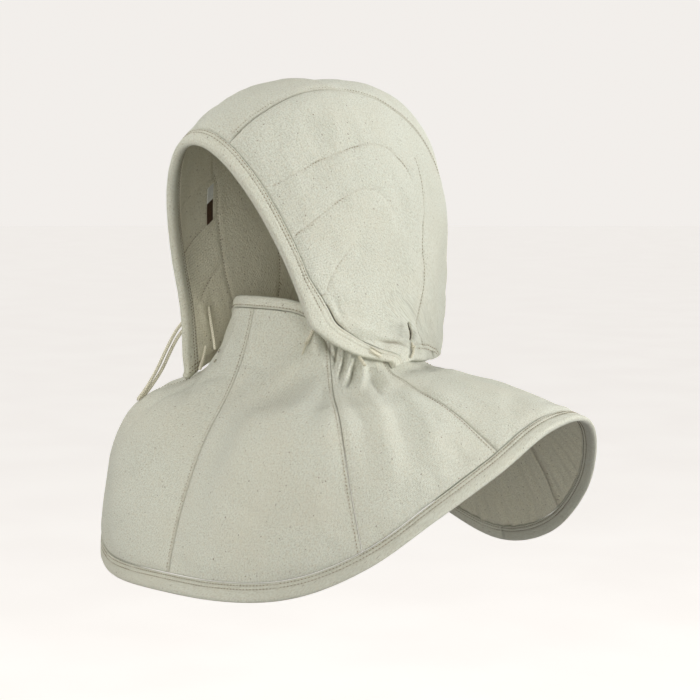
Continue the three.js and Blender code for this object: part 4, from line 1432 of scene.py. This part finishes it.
for line in quilting + lining_lines:
    reach = QUILTING_SEEN_INSIDE if line in quilting else line.length
    keep = (line.at > 2.0) & (line.at < reach)
    below = HOOD_PADDING - LINING_FOLLOWS * line.depth
    points, normals = line.points[keep], line.normals[keep]
    inside_rows.append((points - normals * below, -normals, INSIDE_STITCH_LIFT))
at = np.linspace(0.0, RIGHT_HEM_STITCHED_FROM, 12)
for inset in RIGHT_CORNER_INSETS:
    corner, up = hood.read(at, inset - hood.hem(at, -1))
    inside_rows.append((corner - up * (HOOD_PADDING + BINDING_CLOTH), -up, INSIDE_STITCH_LIFT))
sew("stitches_inside", inside_rows, dark_thread)


# Label: a bare woven tab and a bare brown patch on the lining
for node, material in (("label_tab", tape_finish), ("label_patch", patch_finish)):
    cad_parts[node].data.materials.clear()
    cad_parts[node].data.materials.append(material)


# Laces and ties
def on_mantle(points, lift):
    """Points in metres above the mantle's folded outer face, from (angle, distance) pairs."""
    centre, normal = mantle.read([p[0] for p in points], [p[1] for p in points])
    lift = lift + np.maximum(fold_lift(mantle.read, MANTLE_FOLDS, centre), 0.0)
    return (centre + normal * lift[:, None]) * MM


def on_hood(points, lift):
    """Points in metres above the hood's outer face, from (along, distance) pairs."""
    centre, normal = hood.read([p[0] for p in points], [p[1] for p in points])
    return (centre + normal * lift) * MM


# Routes of the two loose ties, in metres, from the hood's right edge to their ends
CORD_DIAMETER = 0.0034
TIE_UPPER = [(-0.1002, -0.0699, -0.2329), (-0.1020, -0.0712, -0.2338), (-0.1040, -0.0742, -0.2367),
             (-0.1075, -0.0806, -0.2457), (-0.1110, -0.0896, -0.2627), (-0.1150, -0.0988, -0.2828),
             (-0.1195, -0.1083, -0.3008), (-0.1240, -0.1186, -0.3154)]
TIE_LOWER = [(-0.1000, -0.0693, -0.2414), (-0.1019, -0.0708, -0.2424), (-0.1040, -0.0751, -0.2458),
             (-0.1075, -0.0794, -0.2534), (-0.1110, -0.0851, -0.2661), (-0.1150, -0.0937, -0.2852),
             (-0.1205, -0.1040, -0.3026), (-0.1264, -0.1142, -0.3174)]

# The laces: how high they lie over the mantle in millimetres, radii in metres, and their places
LACE_RADIUS = CORD_DIAMETER / 2
LACE_LIFT = 3.1
TAIL_LIFT = 1.3
TAIL_RADIUS = 0.0008
HEM_LACE_RADIUS = 0.0013
KNOT_RADIUS = 0.0009
FRONT_LACE = [(46.6, 12), (45.4, 20), (43.4, 29), (41.0, 38)]
FRONT_LACE_TAIL = [(41.0, 38), (40.0, 43), (38.6, 52)]
BACK_LACE = [(69.3, 40), (70.2, 48), (71.8, 58)]
HEM_LACE = [(0.462, 313.0), (0.432, 325.0), (0.405, 335.0), (0.372, 344.5), (0.345, 350.5)]
LACE_RIGHT_UPPER = [(-0.0896, -0.0523, -0.2206), (-0.0845, -0.054, -0.234), (-0.077, -0.0566, -0.251),
                    (-0.0712, -0.059, -0.2642)]
LACE_RIGHT_LOWER = [(-0.0874, -0.0576, -0.26), (-0.0835, -0.063, -0.268), (-0.078, -0.0705, -0.276),
                    (-0.0723, -0.0788, -0.2829)]

for name, route, count, radius, *nodes in (
        ("lace_left_front_braid", on_mantle(FRONT_LACE, LACE_LIFT), 30, LACE_RADIUS, "lace_left_front"),
        ("lace_left_front_tail", on_mantle(FRONT_LACE_TAIL, TAIL_LIFT), 16, TAIL_RADIUS),
        ("lace_left_back_braid", on_mantle(BACK_LACE, LACE_LIFT), 16, LACE_RADIUS, "lace_left_back"),
        ("lace_left_hem_braid", on_hood(HEM_LACE, TAIL_LIFT), 24, HEM_LACE_RADIUS),
        ("lace_right_upper_braid", LACE_RIGHT_UPPER, 30, LACE_RADIUS, "lace_right_upper"),
        ("lace_right_lower_braid", LACE_RIGHT_LOWER, 24, LACE_RADIUS, "lace_right_lower")):
    tube(name, smooth_route(route, count), radius, *nodes)
for name, centre, size, radius in (
        ("lace_left_front_knot", on_mantle(FRONT_LACE[-1:], LACE_LIFT)[0], 0.0017, KNOT_RADIUS),
        ("lace_left_back_knot", on_mantle(BACK_LACE[-1:], LACE_LIFT)[0], 0.0015, TAIL_RADIUS),
        ("lace_left_hem_knot", on_hood(HEM_LACE[1:2], 1.6)[0], 0.0017, KNOT_RADIUS)):
    tube(name, knot_line(centre, size), radius)
for name, route in (("tie_upper", TIE_UPPER), ("tie_lower", TIE_LOWER)):
    line = smooth_route(route, 48)
    tie = tube(name + "_braid", line, LACE_RADIUS, name)


# Buttonholes: a slit of painted shadow with an overcast edge of pale thread
def buttonhole(name, read, route, half_width, lift, rim, heart=painted_slit_shadow):
    """lift raises the slit over the surface, rim raises the stitches over the slit, and heart is the
    slit's finish: painted shadow unless another is given."""
    path = smooth_route([(p[0], p[1] * DISTANCE_TO_ROUTE, 0.0) for p in route], 24)
    points, normals = read(path[:, 0], path[:, 1] * ROUTE_TO_DISTANCE)
    side = np.cross(normals, np.gradient(points, axis=0))
    side /= np.linalg.norm(side, axis=1, keepdims=True)
    slit(name + "_slit", points, normals, half_width, lift, heart)
    rows = [(points + side * way * (half_width + 0.5), normals, lift + rim) for way in (-1, 1)]
    sew(name + "_stitches", rows, pale_thread, pitch=1.1, length=1.0, radius=0.5)


buttonhole("front_buttonhole", hood.read, FRONT_SLIT, 1.0, -0.7, 0.7)
buttonhole("back_buttonhole", hood.read, BACK_SLIT, 1.4, -1.2, 0.9)
buttonhole("edge_buttonhole", hood.read, EDGE_SLIT, 2.0, 1.2, 0.3, pale_thread)
# The collar eyelets: small slits of painted shadow
buttonhole("collar_eyelet_upper", mantle.read, [(330.5, 56.5), (330.5, 60.0)], 1.0, 0.1, 0.2)
buttonhole("collar_eyelet_lower", mantle.read, [(334.5, 68.0), (334.5, 71.8)], 1.0, 0.1, 0.2)


# Light, floor and backdrop
OBJECT_MIDDLE = (0.0, 0.02, -0.26)


def area_light(name, place, size, power, color):
    """A square lamp aimed at the object."""
    data = bpy.data.lights.new(name, "AREA")
    data.energy, data.size, data.color = power, size, color
    light = bpy.data.objects.new(name, data)
    light.location = place
    light.rotation_euler = (Vector(place) - Vector(OBJECT_MIDDLE)).to_track_quat("Z", "Y").to_euler()
    bpy.context.scene.collection.objects.link(light)


area_light("key", (2.2, 1.95, -0.05), 1.5, 80.0, (1.0, 1.0, 0.985))
area_light("fill", (1.6, -2.1, 0.0), 2.0, 26.0, (1.0, 0.975, 0.92))
area_light("front", (-0.6, -2.5, 0.3), 1.8, 19.0, (1.0, 0.97, 0.90))
area_light("top", (-0.4, 0.2, 2.2), 1.6, 16.0, (1.0, 0.99, 0.97))

# The room: light from above and around, less from below; the camera sees the pale paper behind
ROOM_RISES = (-0.5, 0.3)
ROOM_STRENGTHS = (0.22, 0.50)
ROOM_COLOUR = (1.0, 0.99, 0.975, 1.0)
PAPER_SEEN = (0.89, 0.86, 0.83, 1.0)
world = bpy.data.worlds.new("studio")
bpy.context.scene.world = world
world.use_nodes = True
room = world.node_tree.nodes
join = world.node_tree.links.new
direction = room.new("ShaderNodeTexCoord")
height = room.new("ShaderNodeSeparateXYZ")
join(direction.outputs["Generated"], height.inputs[0])
rise = room.new("ShaderNodeMapRange")
for number, value in enumerate(ROOM_RISES + ROOM_STRENGTHS, 1):
    rise.inputs[number].default_value = value
join(height.outputs[2], rise.inputs[0])
lighting = room["Background"]
lighting.inputs["Color"].default_value = ROOM_COLOUR
join(rise.outputs[0], lighting.inputs["Strength"])
backdrop = room.new("ShaderNodeBackground")
backdrop.inputs["Color"].default_value = PAPER_SEEN
seen = room.new("ShaderNodeLightPath")
chosen = room.new("ShaderNodeMixShader")
join(seen.outputs["Is Camera Ray"], chosen.inputs[0])
join(lighting.outputs[0], chosen.inputs[1])
join(backdrop.outputs[0], chosen.inputs[2])
join(chosen.outputs[0], room["World Output"].inputs[0])

FLOOR_HEIGHT = -1.0
SWEEP_REACH = 30.0
PAPER_GLOW = 0.65
paper = Shader("backdrop_paper")
fibres = paper.between(paper.noise(paper.object_place(), 3.0, 3.0), 0.3, 0.7)
paper.set(Base_Color=paper.mix(fibres, linear(200, 198, 195), linear(194, 191, 188)), Roughness=1.0)
paper.surface.inputs["Emission Color"].default_value = linear(243, 239, 235)
paper.surface.inputs["Emission Strength"].default_value = PAPER_GLOW
floor_points = [(x * SWEEP_REACH, y * SWEEP_REACH, FLOOR_HEIGHT)
                for x, y in ((-1, -1), (1, -1), (1, 1), (-1, 1))]
floor = mesh_object("floor", floor_points, [(0, 1, 2, 3)], False)
floor.data.materials.append(paper.material)
floor.visible_diffuse = False

bpy.context.scene.view_settings.view_transform = "Standard"
